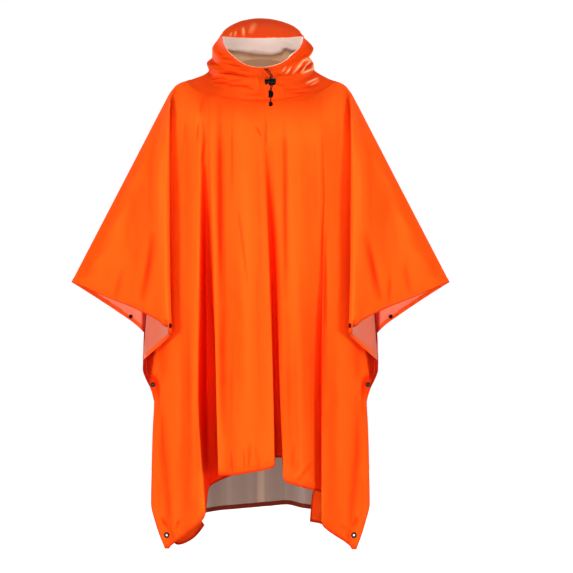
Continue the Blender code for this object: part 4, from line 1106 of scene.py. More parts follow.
# %% Creases of the back, which are of the same kinds
BACK_CREASES = [
    Crease(0.0500, -0.0400, 0.1250, -0.3300, 0.0100, 0.0090, -0.0040),
    Crease(-0.0450, -0.0400, -0.1080, -0.2900, -0.0080, 0.0080, -0.0036),
    Crease(0.0150, -0.0300, 0.0240, -0.4200, 0.0040, 0.0060, -0.0026),
    Crease(-0.0200, -0.1300, -0.0480, -0.5200, 0.0000, 0.0070, -0.0024),
    Crease(-0.1000, -0.0500, -0.1520, -0.2100, -0.0030, 0.0040, -0.0024),
    Crease(0.1040, -0.0500, 0.1600, -0.2300, 0.0030, 0.0040, -0.0026),
    Crease(-0.1550, -0.0600, -0.1760, -0.3300, 0.0000, 0.0050, -0.0022),
    Crease(0.1520, -0.0500, 0.1800, -0.2700, 0.0000, 0.0050, -0.0020),
    Crease(-0.1300, -0.4800, -0.1220, -0.9400, 0.0020, 0.0080, 0.0022),
    Crease(0.0450, -0.5300, 0.0520, -0.9200, 0.0000, 0.0060, -0.0018),
    Crease(-0.0560, -0.6300, -0.0540, -1.0100, 0.0000, 0.0060, -0.0020),
    Crease(0.1300, -0.5600, 0.1260, -0.9900, 0.0020, 0.0070, -0.0018),
    Crease(-0.2900, -0.2500, -0.3150, -0.5200, 0.0000, 0.0100, -0.0040),
    Crease(0.2850, -0.2400, 0.3150, -0.5100, 0.0000, 0.0100, -0.0042),
    Crease(-0.3500, -0.3900, -0.3750, -0.5100, 0.0000, 0.0080, -0.0020),
    Crease(0.3560, -0.4000, 0.3650, -0.5150, 0.0000, 0.0080, -0.0022),
    Crease(-0.1750, -1.0250, -0.1640, -1.0500, 0.0000, 0.0032, -0.0020),
    Crease(0.1400, -1.0200, 0.1550, -1.0480, 0.0000, 0.0032, -0.0020),
    Crease(0.1800, -1.0280, 0.1660, -1.0500, 0.0000, 0.0030, 0.0014),
    Crease(-0.0300, -0.9900, -0.0250, -1.0420, 0.0000, 0.0030, -0.0015),
    Crease(0.0500, -0.9800, 0.0530, -1.0360, 0.0000, 0.0030, -0.0015),
    Crease(-0.0900, -0.9900, -0.0920, -1.0440, 0.0000, 0.0030, 0.0013),
]
print("creases:", len(FRONT_CREASES), "in the front and", len(BACK_CREASES), "in the back;",
      len(FRONT_SHADES), "shaded stretches")


# %% Puckers along the hems, and slow unevenness all over
Wave = namedtuple("Wave", "height scale seed_step")
SWELL = Wave(0.0016, (0.05, 0.08, 0.22), 0)
RIPPLE = Wave(0.0006, (0.02, 0.03, 0.05), 7)
PUCKER = Wave(0.0010, (0.011, 0.02, 0.011), 13)
PUCKER_REACH = 0.018


def hum(wave, x, y, z, seed):
    """Smooth noise of a wave's height, with features of about its scale in metres."""
    across, along, down = wave.scale
    return wave.height * noise.noise(Vector((x / across + (seed + wave.seed_step), y / along, z / down)))


def unevenness(x, y, z, hem_distance, seed):
    """Slow swells down the cloth, and short puckers square to the stitches of the hems."""
    made = np.empty(len(x))
    for i, (a, b, c, d) in enumerate(zip(x, y, z, hem_distance)):
        slow = hum(SWELL, a, b, c, seed) + hum(RIPPLE, a, b, c, seed)
        made[i] = slow + hum(PUCKER, a, b, c, seed) * math.exp(-d / PUCKER_REACH)
    return made


# %% [markdown]
# ## The panels
# A panel is one mesh from its grids of lines. Solidify gives the cloth its thickness, with the coat on the
# inner side, and a vertex group makes the turned hems thicker than the single cloth.

# %% Build a cloth mesh
CLOTH_THICKNESS = 0.0006
HEM_THICKNESS = 0.0015


def to_last_row(lines):
    """How far each point of a grid is from the end of its own line, along the cloth."""
    steps = np.linalg.norm(np.diff(lines, axis=1), axis=2)
    made = np.zeros(lines.shape[:2])
    made[:, :-1] = np.cumsum(steps[:, ::-1], axis=1)[:, ::-1]
    return made


def edge_distances(lines, upper_rows, is_body):
    """How far each point of a grid is from the nearest cut edge, along the cloth.

    Beside the pleats, in the upper rows, the body's sides aren't cut.
    """
    lines = np.asarray(lines)
    to_hem = to_last_row(lines)
    if not is_body:
        return to_hem
    across = np.linalg.norm(np.diff(lines, axis=0), axis=2)
    from_left = np.vstack([np.zeros(lines.shape[1]), np.cumsum(across, axis=0)])
    from_right = from_left[-1] - from_left
    side = np.minimum(from_left, from_right)
    far_away = 1.0
    side[:, :upper_rows] = far_away
    return np.minimum(to_hem, side)


def cloth_mesh(name, grids, flip):
    """One mesh from grids of lines that share their common lines, with two measures on each point."""
    bm = bmesh.new()
    hem = bm.verts.layers.float.new("hem_distance")
    # valley carries the painted shade of the deep valleys.
    valley = bm.verts.layers.float.new("valley")
    for lines, distances, shades in grids:
        rows = []
        for line, line_distances, line_shades in zip(lines, distances, shades):
            row = []
            for p, d, s in zip(line, line_distances, line_shades):
                v = bm.verts.new(p)
                v[hem] = d
                v[valley] = s
                row.append(v)
            rows.append(row)
        for a, b in zip(rows, rows[1:]):
            for i in range(len(a) - 1):
                corners = (a[i], a[i + 1], b[i + 1], b[i])
                bm.faces.new(corners[::-1] if flip else corners)
    bmesh.ops.remove_doubles(bm, verts=bm.verts, dist=1e-5)
    for f in bm.faces:
        f.smooth = True
    mesh = bpy.data.meshes.new(name)
    bm.to_mesh(mesh)
    bm.free()
    return mesh


# %% Read and write a mesh as arrays
def read_points(mesh):
    points = np.empty(len(mesh.vertices) * 3)
    mesh.vertices.foreach_get("co", points)
    normals = np.empty(len(mesh.vertices) * 3, np.float32)
    mesh.vertex_normals.foreach_get("vector", normals)
    return points.reshape(-1, 3), normals.reshape(-1, 3).astype(float)


def read_attribute(mesh, name):
    values = np.empty(len(mesh.vertices), np.float32)
    mesh.attributes[name].data.foreach_get("value", values)
    return values.astype(float)


def write_attribute(mesh, name, values):
    layer = mesh.attributes.new(name, "FLOAT", "POINT")
    layer.data.foreach_set("value", np.asarray(values, np.float32))


# %% How deep each point lies, and the painted shade of hollows and painted light of crests
NEAR_ROUNDS, FAR_ROUNDS = 8, 90
# What each depth adds to the painted shade:
NEAR_TINT, FAR_TINT = (-0.2, 0.45), (-0.2, 0.85)     # the least and the most that each depth adds


def depth_below(mesh, points, normals, rounds):
    """How deep each point lies below the cloth around it, evened out over more cloth with more rounds."""
    ends = np.empty(len(mesh.edges) * 2, np.int32)
    mesh.edges.foreach_get("vertices", ends)
    a, b = ends[0::2], ends[1::2]
    neighbours = np.maximum(np.bincount(ends, minlength=len(points)), 1)
    evened = points.copy()
    for _ in range(rounds):
        for axis in range(3):
            total = np.bincount(a, evened[b, axis], len(points))
            total = total + np.bincount(b, evened[a, axis], len(points))
            evened[:, axis] += 0.5 * (total / neighbours - evened[:, axis])
    return ((evened - points) * normals).sum(axis=1)


def write_tones(mesh, shine, shade, lit, near_depth=0.0024, far_depth=0.014, crest_depth=0.010):
    """The attributes of painted shade in the hollows, painted light on the crests, and painted shine."""
    mesh.update()
    points, normals = read_points(mesh)
    near = depth_below(mesh, points, normals, NEAR_ROUNDS)
    far = depth_below(mesh, points, normals, FAR_ROUNDS)
    inland = step_up(read_attribute(mesh, "hem_distance"), 0.004, 0.03)
    painted_hollow_shade = np.clip(near / near_depth, *NEAR_TINT) + np.clip(far / far_depth, *FAR_TINT) * inland + shade
    write_attribute(mesh, "painted_hollow_shade", np.clip(painted_hollow_shade, 0, 1))
    write_attribute(mesh, "painted_crest_light", np.clip(np.clip(-far / crest_depth, 0, 1) * inland + lit, 0, 1))
    write_attribute(mesh, "shine", shine)


# %% Flat places under the snaps and grommets, and the holes of the grommets
FLAT_REACH, BENT_REACH = 0.009, 0.024     # the cloth is flat within the first and as it was past the second
SAME_LAYER = 0.010                        # cloth that lies farther off than this is another layer
HOLE_RADIUS, CLEAR_RADIUS = 0.0036, 0.0043


def flatten_at(bm, seat, height):
    for v in bm.verts:
        away = v.co - seat.middle
        if away.length > BENT_REACH + 0.004:
            continue
        level = away.dot(seat.axis)
        if abs(level - height) > SAME_LAYER:
            continue
        reach = (away - seat.axis * level).length
        v.co += seat.axis * (height - level) * float(step_down(reach, FLAT_REACH, BENT_REACH))


def open_hole(bm, seat):
    """Takes the cloth out inside a grommet, and draws the points left near it to a circle under its rim."""
    inner = [f for f in bm.faces if (f.calc_center_median() - seat.middle).length < HOLE_RADIUS]
    bmesh.ops.delete(bm, geom=inner, context="FACES")
    for v in bm.verts:
        away = v.co - seat.middle
        if away.length < CLEAR_RADIUS:
            v.co = seat.middle + away.normalized() * CLEAR_RADIUS


def flatten_at_seats(mesh, seats):
    bm = bmesh.new()
    bm.from_mesh(mesh)
    for seat, height, has_hole in seats:
        flatten_at(bm, seat, height)
        if has_hole:
            open_hole(bm, seat)
    bm.to_mesh(mesh)
    bm.free()


# %% The wall of the cloth
def give_thickness(piece, hem_distance):
    """A thin wall, thicker in the turned hem, with the coat on its inner side."""
    hem_group = piece.vertex_groups.new(name="turned_hem")
    for weight in (0.0, 1.0):
        inside = (hem_distance < HEM_WIDTH - 0.0003) == (weight == 1.0)
        hem_group.add(np.nonzero(inside)[0].tolist(), weight, "REPLACE")
    wall = piece.modifiers.new("wall", "SOLIDIFY")
    wall.thickness = HEM_THICKNESS
    wall.offset = 0.0
    wall.vertex_group = "turned_hem"
    wall.thickness_vertex_group = CLOTH_THICKNESS / HEM_THICKNESS
    wall.material_offset = 1
    wall.material_offset_rim = 0
    wall.use_even_offset = False


# %% [markdown]
# Front and back meet along the shoulders and arms. On the real poncho this is a lapped seam: the front's edge
# lies over the back's. The front's lines therefore start just behind the ridge.

# %% The lapped shoulder seam, and the panels
LAP = 0.004
LAP_LIFT = 0.0011


def set_top_edge(body, side):
    """Brings every line's start exactly onto the neckline or shoulder line, and the cloth below it along."""
    followed = 0.02
    for line in body:
        line += (top_point(line[0][0], side) - line[0]) * np.exp(-way_along(line) / followed)[:, None]


def lap_over_ridge(lines):
    """Lets each line of the front that starts on the shoulder or arm line begin a little over the back."""
    made = []
    for line in lines:
        line = np.array(line)
        if abs(line[0][0]) >= NECK_HALF:
            line[0] = line[0] + np.array([0, LAP, 0.1 * LAP_LIFT])
            line[1] = line[1] * np.array([1, 0, 1]) + np.array([0, RIDGE_Y, LAP_LIFT])
        made.append(line)
    return made


# %% A panel as one mesh: the body between its two pleats, and a wing on either side. side is -1 for the front
Panel = namedtuple("Panel", "name side folds edges right_end pleat hang creases shades valleys seats seed")


def panel_mesh(panel):
    side = panel.side
    body = body_lines(panel.folds, panel.edges, panel.right_end, side)
    left = wing_lines(body[0], panel.pleat, panel.hang, side)
    right = [mirrored(line) for line in wing_lines(mirrored(body[-1]), panel.pleat, panel.hang, side)][::-1]
    splits = splits_for(body, COLUMN_SPACING)
    body = between(body, splits)
    set_top_edge(body, side)
    left.append(body[0][:len(UPPER)])
    right.insert(0, body[-1][:len(UPPER)])
    grids = [left, list(body), right]
    measured = [edge_distances(lines, len(UPPER) - 1, lines is grids[1]) for lines in grids]
    shaded = [np.zeros(distances.shape) for distances in measured]
    shaded[1] = valley_shades(panel.valleys, panel.folds, splits, body)
    if side < 0:
        grids = [lap_over_ridge(lines) for lines in grids]
    return cloth_mesh(panel.name, list(zip(grids, measured, shaded)), side > 0)


def below_ridge(points):
    """How far each point lies below the shoulder and arm line."""
    return np.array([ridge_z(x) for x in points[:, 0]]) - points[:, 2]


def push_creases(mesh, panel):
    """Moves the cloth by its creases and its unevenness, but not at the seam that it hangs from."""
    points, _ = read_points(mesh)
    x, y, z = points.T
    hem_distance = read_attribute(mesh, "hem_distance")
    push = crease_push(panel.creases, x, z) + unevenness(x, 0 * y, z, hem_distance, panel.seed)
    points[:, 1] += panel.side * push * step_up(below_ridge(points), 0.004, 0.05)
    mesh.vertices.foreach_set("co", points.ravel())


# %% The painted shade and light on a panel's face, from the top down. wide is the way out from the middle, drop the way down
# Painted shade in the yoke and on the lower body, and painted light high up:
YOKE_SHADE, LOW_SHADE, TOP_LIGHT = 0.30, 0.13, 0.35
# Painted deep shade near the neck, on the valley floors, at the hem edges, along the arm line and where the
# back wraps behind the front:
NECK_SHADE, VALLEY_FLOOR_SHADE, RIM_SHADE, RIDGE_SHADE, WRAP_SHADE = 0.26, 0.40, 0.70, 0.25, 0.42
# Painted shade in the slit below each cuff, from this slanting edge outward:
POCKET_X, POCKET_Z, POCKET_LEAN = 0.2484, -0.66, 0.146     # the inner edge of the dark slit below the cuff


def tint_face(mesh, panel):
    """Painted shade makes it redder in the yoke, the valleys and the shaded folds, painted light paler high up,
    and painted shade darkens the deepest places, the hem edges and the arm line.
    """
    points, _ = read_points(mesh)
    x, y, z = points.T
    wide, drop, below = np.abs(x), -z, below_ridge(points)
    valley = read_attribute(mesh, "valley")
    yoke = YOKE_SHADE * step_down(below, 0.01, 0.13) * step_down(wide, 0.17, 0.22)
    low = LOW_SHADE * step_up(drop, 0.30, 0.75) * step_down(wide, 0.22, 0.26)
    shade = crease_tone(panel.shades, x, z, -1) + yoke + low + valley
    lit = TOP_LIGHT * step_down(drop, 0.35, 0.65) * step_up(below, 0.02, 0.10)
    write_tones(mesh, np.zeros(len(points)), shade, lit)
    # Painted deep shade near the neck, on the valley floors low down, at the hem edges, along the arm line, in
    # the slits below the cuffs and where the back wraps forward.
    near_neck = NECK_SHADE * step_down(below, 0.03, 0.12) * step_down(wide, 0.13, 0.19)
    deep = VALLEY_FLOOR_SHADE * valley * step_up(drop, 0.70, 0.95)
    rim = RIM_SHADE * step_down(read_attribute(mesh, "hem_distance"), 0.0010, 0.0036)
    rim += RIDGE_SHADE * step_down(below, 0.001, 0.005) * step_up(wide, 0.20, 0.23)
    if panel.side < 0:
        edge = POCKET_X - POCKET_LEAN * (z - POCKET_Z)
        corner = step_up(wide, edge, edge + 0.006) * step_up(drop, 0.64, 0.66) * step_down(drop, 0.745, 0.775)
    else:
        corner = WRAP_SHADE * step_up(-y, 0.0, 0.012) * step_up(drop, 0.90, 0.98)
    write_attribute(mesh, "painted_deep_shade", near_neck + deep + rim + corner)


# %% The painted light and shade on a panel's coat
# How strong the painted highlight down the back's middle is, and how much painted glow the nape loses:
STRIPE_HIGHLIGHT, NECKLINE_DULL = 0.22, 0.75


def tint_coat(mesh, panel):
    """Painted orange light inside the wings, painted brownish shade at the nape and a painted highlight down
    the middle, painted shade at the cuffs, and 'thin' where a painted glow stands for the light that shines in.
    """
    points, _ = read_points(mesh)
    wide, z = np.abs(points[:, 0]), points[:, 2]
    at_back = panel.side > 0
    painted_wing_light = step_up(wide, 0.19, 0.25)
    cuff = step_up(wide, 0.270, 0.275) * step_down(wide, 0.286, 0.292) * step_up(z, -0.66, -0.63)
    neckline = step_down(wide, 0.14, 0.17) * step_up(z, -0.16, -0.12)
    stripe = STRIPE_HIGHLIGHT * step_down(wide, 0.006, 0.010) * step_up(-z, 0.80, 0.85)
    sleeve = step_up(wide, 0.25, 0.27) * (read_attribute(mesh, "hem_distance") > HEM_WIDTH)
    write_attribute(mesh, "painted_wing_light", painted_wing_light)
    write_attribute(mesh, "painted_cuff_shade", cuff * at_back)
    write_attribute(mesh, "tan", (neckline + stripe) * at_back)
    # thin marks the painted glow: none inside the wings except the back's sleeves, and less at the back's nape.
    thin = 1 - painted_wing_light * (1 - sleeve) - NECKLINE_DULL * neckline if at_back else 1 - painted_wing_light
    write_attribute(mesh, "thin", thin)


# %% Make the front and the back
def area_of(mesh):
    return sum(f.area for f in mesh.polygons)


def make_panel(panel):
    mesh = panel_mesh(panel)
    push_creases(mesh, panel)
    flatten_at_seats(mesh, panel.seats)
    tint_face(mesh, panel)
    tint_coat(mesh, panel)
    piece = add_piece(panel.name, mesh, face, panel_coat)
    give_thickness(piece, read_attribute(mesh, "hem_distance"))
    print(panel.name, len(mesh.vertices), "points,", len(mesh.polygons), "faces,", f"{area_of(mesh):.3f} m2")
    return piece


front = make_panel(Panel("front_cloth", -1, FRONT_FOLDS, FRONT_EDGE, FRONT_RIGHT_END, FRONT_PLEAT, FRONT_HANG,
                         FRONT_CREASES, FRONT_SHADES, FRONT_VALLEYS, SEATS["front"], seed=3.0))
back = make_panel(Panel("back_cloth", 1, BACK_FOLDS, BACK_EDGE, BACK_RIGHT_END, BACK_PLEAT, BACK_HANG,
                        BACK_CREASES, shades=[], valleys=(), seats=SEATS["back"], seed=31.0))

# %% [markdown]
# ## The hood
# Three pieces: two sides that meet under the chin and a centre strip from the nape over the crown to the
# brim. Each is cut out of the same stack of rings, between two courses round it, and laps over its
# neighbour at the seam.

# %% Hood pieces
CENTRE_EDGE_TOP, CENTRE_EDGE_NAPE, CHIN_SEAM = 106.0, 142.0, -5.0
HOOD_ROW_COUNT = 120
HOOD_SPACING = 0.0024
SEAM_LAP_DEGREES, SEAM_LIFT = 1.4, 0.0008
SKIRT_LAP = 0.0042
BRIM_TOP = 0.078              # below this the pale coat shows on the rolled edge of the face opening
ROLLED_WIDTH = 0.001

# %% Creases of the hood

# The last column paints shine where it is positive and shade where it is negative.
HOOD_CREASES = [
    Crease(-0.1254, 0.0016, -0.0475, -0.0020, 0.0036, 0.0034, -0.0030, -0.45),
    Crease(-0.0522, -0.0008, -0.0120, -0.0173, 0.0019, 0.0030, -0.0022, -0.40),
    Crease(-0.0994, 0.0264, -0.0215, 0.0075, 0.0036, 0.0032, -0.0022, -0.40),
    Crease(-0.0909, 0.0086, -0.0390, -0.0074, 0.0014, 0.0030, -0.0018, -0.35),
    Crease(-0.1136, -0.0173, -0.0640, -0.0292, 0.0029, 0.0032, -0.0024, -0.45),
    Crease(-0.0862, -0.0292, -0.0144, -0.0339, 0.0014, 0.0032, -0.0022, -0.45),
    Crease(-0.0458, -0.0315, -0.0097, -0.0410, 0.0000, 0.0028, -0.0014, -0.40),
    Crease(-0.1180, -0.0080, -0.0720, -0.0160, 0.0016, 0.0024, -0.0018, -0.40),
    Crease(-0.0800, -0.0190, -0.0330, -0.0140, -0.0012, 0.0022, -0.0016, -0.35),
    Crease(-0.0980, 0.0400, -0.0560, 0.0290, 0.0020, 0.0026, -0.0018, -0.35),
    Crease(-0.1050, 0.0560, -0.0860, 0.0420, 0.0014, 0.0026, -0.0016, -0.35),
    Crease(-0.0640, 0.0130, -0.0180, 0.0020, 0.0010, 0.0020, -0.0014, -0.30),
    Crease(0.0280, -0.0250, 0.0640, -0.0290, -0.0010, 0.0024, -0.0016, -0.35),
    Crease(0.0300, 0.0020, 0.0520, -0.0060, 0.0000, 0.0022, -0.0014, -0.30),
    Crease(0.0640, -0.0460, 0.1180, -0.0400, -0.0020, 0.0028, -0.0016, -0.35),
    Crease(-0.0427, -0.0504, 0.0140, -0.0528, 0.0000, 0.0030, -0.0014),
    Crease(-0.0380, -0.0043, -0.0026, -0.0197, 0.0000, 0.0030, 0.0018),
    Crease(-0.0097, 0.0039, -0.0038, -0.0339, 0.0000, 0.0032, 0.0014),
    Crease(-0.1278, 0.0205, -0.0900, 0.0157, 0.0024, 0.0040, 0.0024),
    Crease(-0.1301, 0.0110, -0.1042, 0.0075, 0.0000, 0.0030, -0.0020),
    Crease(0.0943, -0.0315, 0.1463, -0.0173, -0.0024, 0.0040, -0.0022),
    Crease(0.0541, -0.0362, 0.1037, -0.0339, -0.0024, 0.0036, -0.0016),
    Crease(0.0376, -0.0126, 0.0848, -0.0126, -0.0024, 0.0034, -0.0014),
    Crease(0.0541, -0.0079, 0.0943, -0.0103, -0.0024, 0.0030, 0.0010),
    Crease(0.0506, 0.0016, 0.0624, 0.0169, 0.0000, 0.0018, 0.0016, 0.45),
    Crease(0.0596, -0.0032, 0.0754, 0.0169, 0.0000, 0.0020, 0.0018, 0.75),
    Crease(0.0754, -0.0020, 0.1037, 0.0335, 0.0000, 0.0026, 0.0026, 0.95),
    Crease(0.0990, 0.0299, 0.1285, 0.0441, 0.0000, 0.0024, 0.0024, 0.95),
    Crease(0.0955, 0.0004, 0.1120, 0.0264, 0.0000, 0.0020, 0.0020, 0.80),
    Crease(0.1085, 0.0228, 0.1250, 0.0394, 0.0000, 0.0020, 0.0020, 0.90),
    Crease(0.0967, 0.0001, 0.1285, 0.0169, 0.0000, 0.0022, 0.0022, 0.90),
    Crease(0.1238, 0.0110, 0.1297, 0.0346, 0.0000, 0.0020, 0.0018, 0.80),
    Crease(0.1073, -0.0228, 0.1404, -0.0051, 0.0000, 0.0022, 0.0024, 0.85),
    Crease(0.1203, -0.0256, 0.1415, -0.0114, 0.0000, 0.0016, 0.0014, 0.45),
    Crease(0.0683, 0.0039, 0.0896, 0.0275, 0.0000, 0.0022, -0.0020),
    Crease(0.0872, 0.0016, 0.1037, 0.0240, 0.0000, 0.0020, -0.0022),
    Crease(0.1014, 0.0086, 0.1215, 0.0299, 0.0000, 0.0020, -0.0022),
    Crease(0.0967, 0.0394, 0.1179, 0.0535, 0.0000, 0.0040, -0.0020),
    Crease(-0.0723, 0.0866, -0.0664, 0.0972, 0.0000, 0.0020, 0.0012, 0.60),
    Crease(-0.0605, 0.0866, -0.0569, 0.1008, 0.0000, 0.0020, 0.0014, 0.65),
    Crease(-0.0392, 0.0854, -0.0404, 0.1114, 0.0000, 0.0026, 0.0016, 0.75),
    Crease(-0.0262, 0.0913, -0.0108, 0.1232, 0.0000, 0.0060, 0.0016, 0.28),
    Crease(-0.0498, 0.0866, -0.0486, 0.1055, 0.0000, 0.0026, -0.0014),
    Crease(-0.0309, 0.0854, -0.0274, 0.1126, 0.0000, 0.0030, -0.0014),
]
HOOD_BACK_CREASES = [
    Crease(-0.1150, 0.0450, 0.0300, 0.0820, -0.0060, 0.0050, -0.0036),
    Crease(0.1150, 0.0400, -0.0250, 0.0700, 0.0050, 0.0050, -0.0034),
    Crease(-0.1250, 0.0200, -0.0200, 0.0620, -0.0040, 0.0045, -0.0030),
    Crease(0.1280, 0.0160, 0.0400, 0.0560, 0.0040, 0.0040, -0.0028),
    Crease(-0.0900, 0.0820, -0.0300, 0.1050, 0.0030, 0.0035, -0.0022),
    Crease(0.0850, 0.0800, 0.0350, 0.1020, -0.0030, 0.0035, -0.0022),
    Crease(-0.1000, 0.0100, -0.0450, 0.0450, 0.0000, 0.0035, 0.0022),
    Crease(0.0950, 0.0050, 0.0500, 0.0400, 0.0000, 0.0035, 0.0020),
]

# The cloth of the crown hangs in a shallow bag inside the back of the hood: x and z of the bag's lower edge.
BAG_EDGE = ((-0.1100, 0.0720), (-0.0728, 0.0692), (-0.0436, 0.0656), (-0.0216, 0.0621), (0.0052, 0.0597),
            (0.0246, 0.0587), (0.0393, 0.0617), (0.0490, 0.0646), (0.0612, 0.0758), (0.0782, 0.0685),
            (0.0953, 0.0668), (0.1200, 0.0690))
BAG_DEPTH, BAG_HEIGHT, BAG_FRONT_Y = 0.009, 0.020, 0.02


def hood_rows():
    knots = np.arange(len(HOOD_RINGS))
    at = np.linspace(0, len(HOOD_RINGS) - 1, HOOD_ROW_COUNT)
    columns = [smooth(knots, [getattr(r, f) for r in HOOD_RINGS], at) for f in Ring._fields[1:]]
    return [Ring(f"row_{i}", *(float(c[i]) for c in columns)) for i in range(HOOD_ROW_COUNT)]


def hood_lines(start, stop):
    """Lines of a hood piece between two courses, each (degrees at the neckline, degrees at the brim)."""
    rows = hood_rows()
    climb = np.linspace(0, 1, HOOD_ROW_COUNT)
    first = start[0] + (start[1] - start[0]) * climb
    last = stop[0] + (stop[1] - stop[0]) * climb
    columns = math.ceil(math.radians(last[0] - first[0]) * 0.14 / HOOD_SPACING)
    shares = np.linspace(0, 1, columns + 1)
    grid = np.empty((columns + 1, HOOD_ROW_COUNT, 3))
    for r, ring in enumerate(rows):
        inset = math.degrees(SEAM_GAP / (0.5 * (ring.left + ring.right)))
        grid[:, r] = ring_points(ring, (first[r] + inset) + (last[r] - first[r] - 2 * inset) * shares)
    return grid


def add_skirt(grid):
    """A row below the neckline that laps over the panels, and a small lift of the rows next to it."""
    outward = grid[:, 0] - np.array([0.0, RIDGE_Y, 0.0])
    outward[:, 2] = 0
    outward /= np.linalg.norm(outward, axis=1)[:, None]
    steep = np.abs(outward[:, 1])
    direction = outward * (1 - 0.45 * steep)[:, None]
    direction[:, 2] = -0.35 - 0.55 * steep
    direction /= np.linalg.norm(direction, axis=1)[:, None]
    lift = np.array([0, 0, SEAM_LIFT]) + outward * (steep * SEAM_LIFT)[:, None]
    skirt = grid[:, 0] + direction * SKIRT_LAP + lift
    raised = grid.copy()
    raised[:, 0] += lift
    raised[:, 1] += lift * 0.6
    return np.concatenate([skirt[:, None], raised], axis=1)


# %% Creases, the bag and the laps of a hood piece
FACING = (0.0, 0.3)           # how far a normal turns to the front or the back before its creases count fully
FRONT_GAIN, BACK_GAIN = 1.3, 1.2
CHIN_SEAM_X, CHIN_LAP_REACH = 0.0117, 0.004


def above_bag_edge(x, z):
    return z - smooth(*zip(*BAG_EDGE), x)


def bag_push(x, y, z):
    """How far the inside of the hood's back hangs in above the bag's edge, and where painted shade lies below
    that edge.
    """
    above = above_bag_edge(x, z)
    at_back = step_up(y, BAG_FRONT_Y, BAG_FRONT_Y + 0.05)
    push = -BAG_DEPTH * step_up(above, -0.0018, 0.0018) * np.exp(-np.maximum(above, 0) / BAG_HEIGHT) * at_back
    return push, step_down(above, -0.0018, 0.0006) * step_up(y, BAG_FRONT_Y - 0.03, BAG_FRONT_Y)


def shape_hood(mesh, seed, lift, chin_lift):
    """Moves the cloth along its normals, and marks where painted shade lies below the bag's edge. Gives its
    points, how far each faces the front, and where the painted shine lies.
    """
    points, normals = read_points(mesh)
    x, y, z = points.T
    towards_front = step_up(-normals[:, 1], *FACING)
    towards_back = step_up(normals[:, 1], *FACING)
    at_chin = np.exp(-np.abs(x - CHIN_SEAM_X) / CHIN_LAP_REACH) * (y < -0.08)
    bag, below_bag = bag_push(x, y, z)
    push = unevenness(x, y, z, read_attribute(mesh, "hem_distance"), seed) + lift + chin_lift * at_chin + bag
    push += FRONT_GAIN * crease_push(HOOD_CREASES, x, z) * towards_front
    push += BACK_GAIN * crease_push(HOOD_BACK_CREASES, x, z) * towards_back
    # Painted highlight along the shining creases that face the front.
    shine = np.clip(crease_tone(HOOD_CREASES, x, z, 1) * towards_front, 0, 1)
    # Painted tan shade below the bag's edge.
    write_attribute(mesh, "tan", below_bag)
    points = points + normals * push[:, None]
    mesh.vertices.foreach_set("co", points.ravel())
    return points, towards_front, shine


# %% The painted shade and light on a hood piece
# Painted shade at the hood's sides and over its crown:
HOOD_SIDE_SHADE, CROWN_SHADE = 0.40, 0.20


def tint_hood(mesh, points, towards_front, shine):
    """Painted shade at the sides, the crown and the shaded creases, none at the skirt; a painted glow save in
    the painted shadow just below the bag's edge; pale on the rolled edge.
    """
    x, _, z = points.T
    hem_distance = read_attribute(mesh, "hem_distance")
    at_sides = HOOD_SIDE_SHADE * step_up(np.abs(x), 0.098, 0.135) * step_up(z, -0.010, 0.015)
    over_crown = CROWN_SHADE * step_up(z, 0.085, 0.13)
    write_attribute(mesh, "painted_deep_shade", at_sides + over_crown)
    for only_on_panels in ("painted_wing_light", "painted_cuff_shade"):
        write_attribute(mesh, only_on_panels, np.zeros(len(points)))
    above = above_bag_edge(x, z)
    # A painted shadow just below the bag's edge, where the painted glow is left out:
    bag_shadow = step_up(above, -0.016, -0.003) * step_down(above, -0.001, 0.001)
    write_attribute(mesh, "thin", 1 - bag_shadow)
    write_attribute(mesh, "rolled", (hem_distance < ROLLED_WIDTH) & (z < BRIM_TOP))
    at_skirt = step_down(hem_distance.max() - hem_distance, 0.004, 0.022)
    shade = crease_tone(HOOD_CREASES, x, z, -1) * towards_front - at_skirt
    write_tones(mesh, shine, shade, 0.0, near_depth=0.0013)


# %% Make the three hood pieces
def make_hood_piece(name, start, stop, lift=0.0, chin_lift=0.0):
    grid = add_skirt(hood_lines(start, stop))
    to_brim = to_last_row(grid)
    mesh = cloth_mesh(name, [(grid, to_brim, np.zeros(to_brim.shape))], False)
    tint_hood(mesh, *shape_hood(mesh, HOOD_SEED, lift, chin_lift))
    piece = add_piece(name, mesh, hood_shaded_face, hood_coat)
    give_thickness(piece, read_attribute(mesh, "hem_distance"))
    print(name, len(mesh.vertices), "points,", f"{area_of(mesh):.4f} m2")
    return piece


HOOD_SEED = 51.0              # one seed for all three, so that the swells run on over the seams
chin = (CHIN_SEAM, CHIN_SEAM)
left_course = (CENTRE_EDGE_NAPE, CENTRE_EDGE_TOP)
right_course = (360 - CENTRE_EDGE_NAPE, 360 - CENTRE_EDGE_TOP)
over_left = tuple(a - SEAM_LAP_DEGREES for a in left_course)
over_right = tuple(a + SEAM_LAP_DEGREES for a in right_course)
over_chin = (360 + CHIN_SEAM + SEAM_LAP_DEGREES, 360 + CHIN_SEAM + SEAM_LAP_DEGREES)
hood_left = make_hood_piece("hood_side_left", chin, left_course)
hood_centre = make_hood_piece("hood_centre_strip", over_left, over_right, lift=SEAM_LIFT)
hood_right = make_hood_piece("hood_side_right", right_course, over_chin, chin_lift=0.0012)

# %% [markdown]
# ## Stitches
# A lockstitch row runs round the hems and the hood's cord channel. Each row follows the line on the cloth
# that is always as far from the cut edge, and Geometry Nodes lays a short thread at every step of it. That
# way the stitches stay the same size on cloth of any shape.

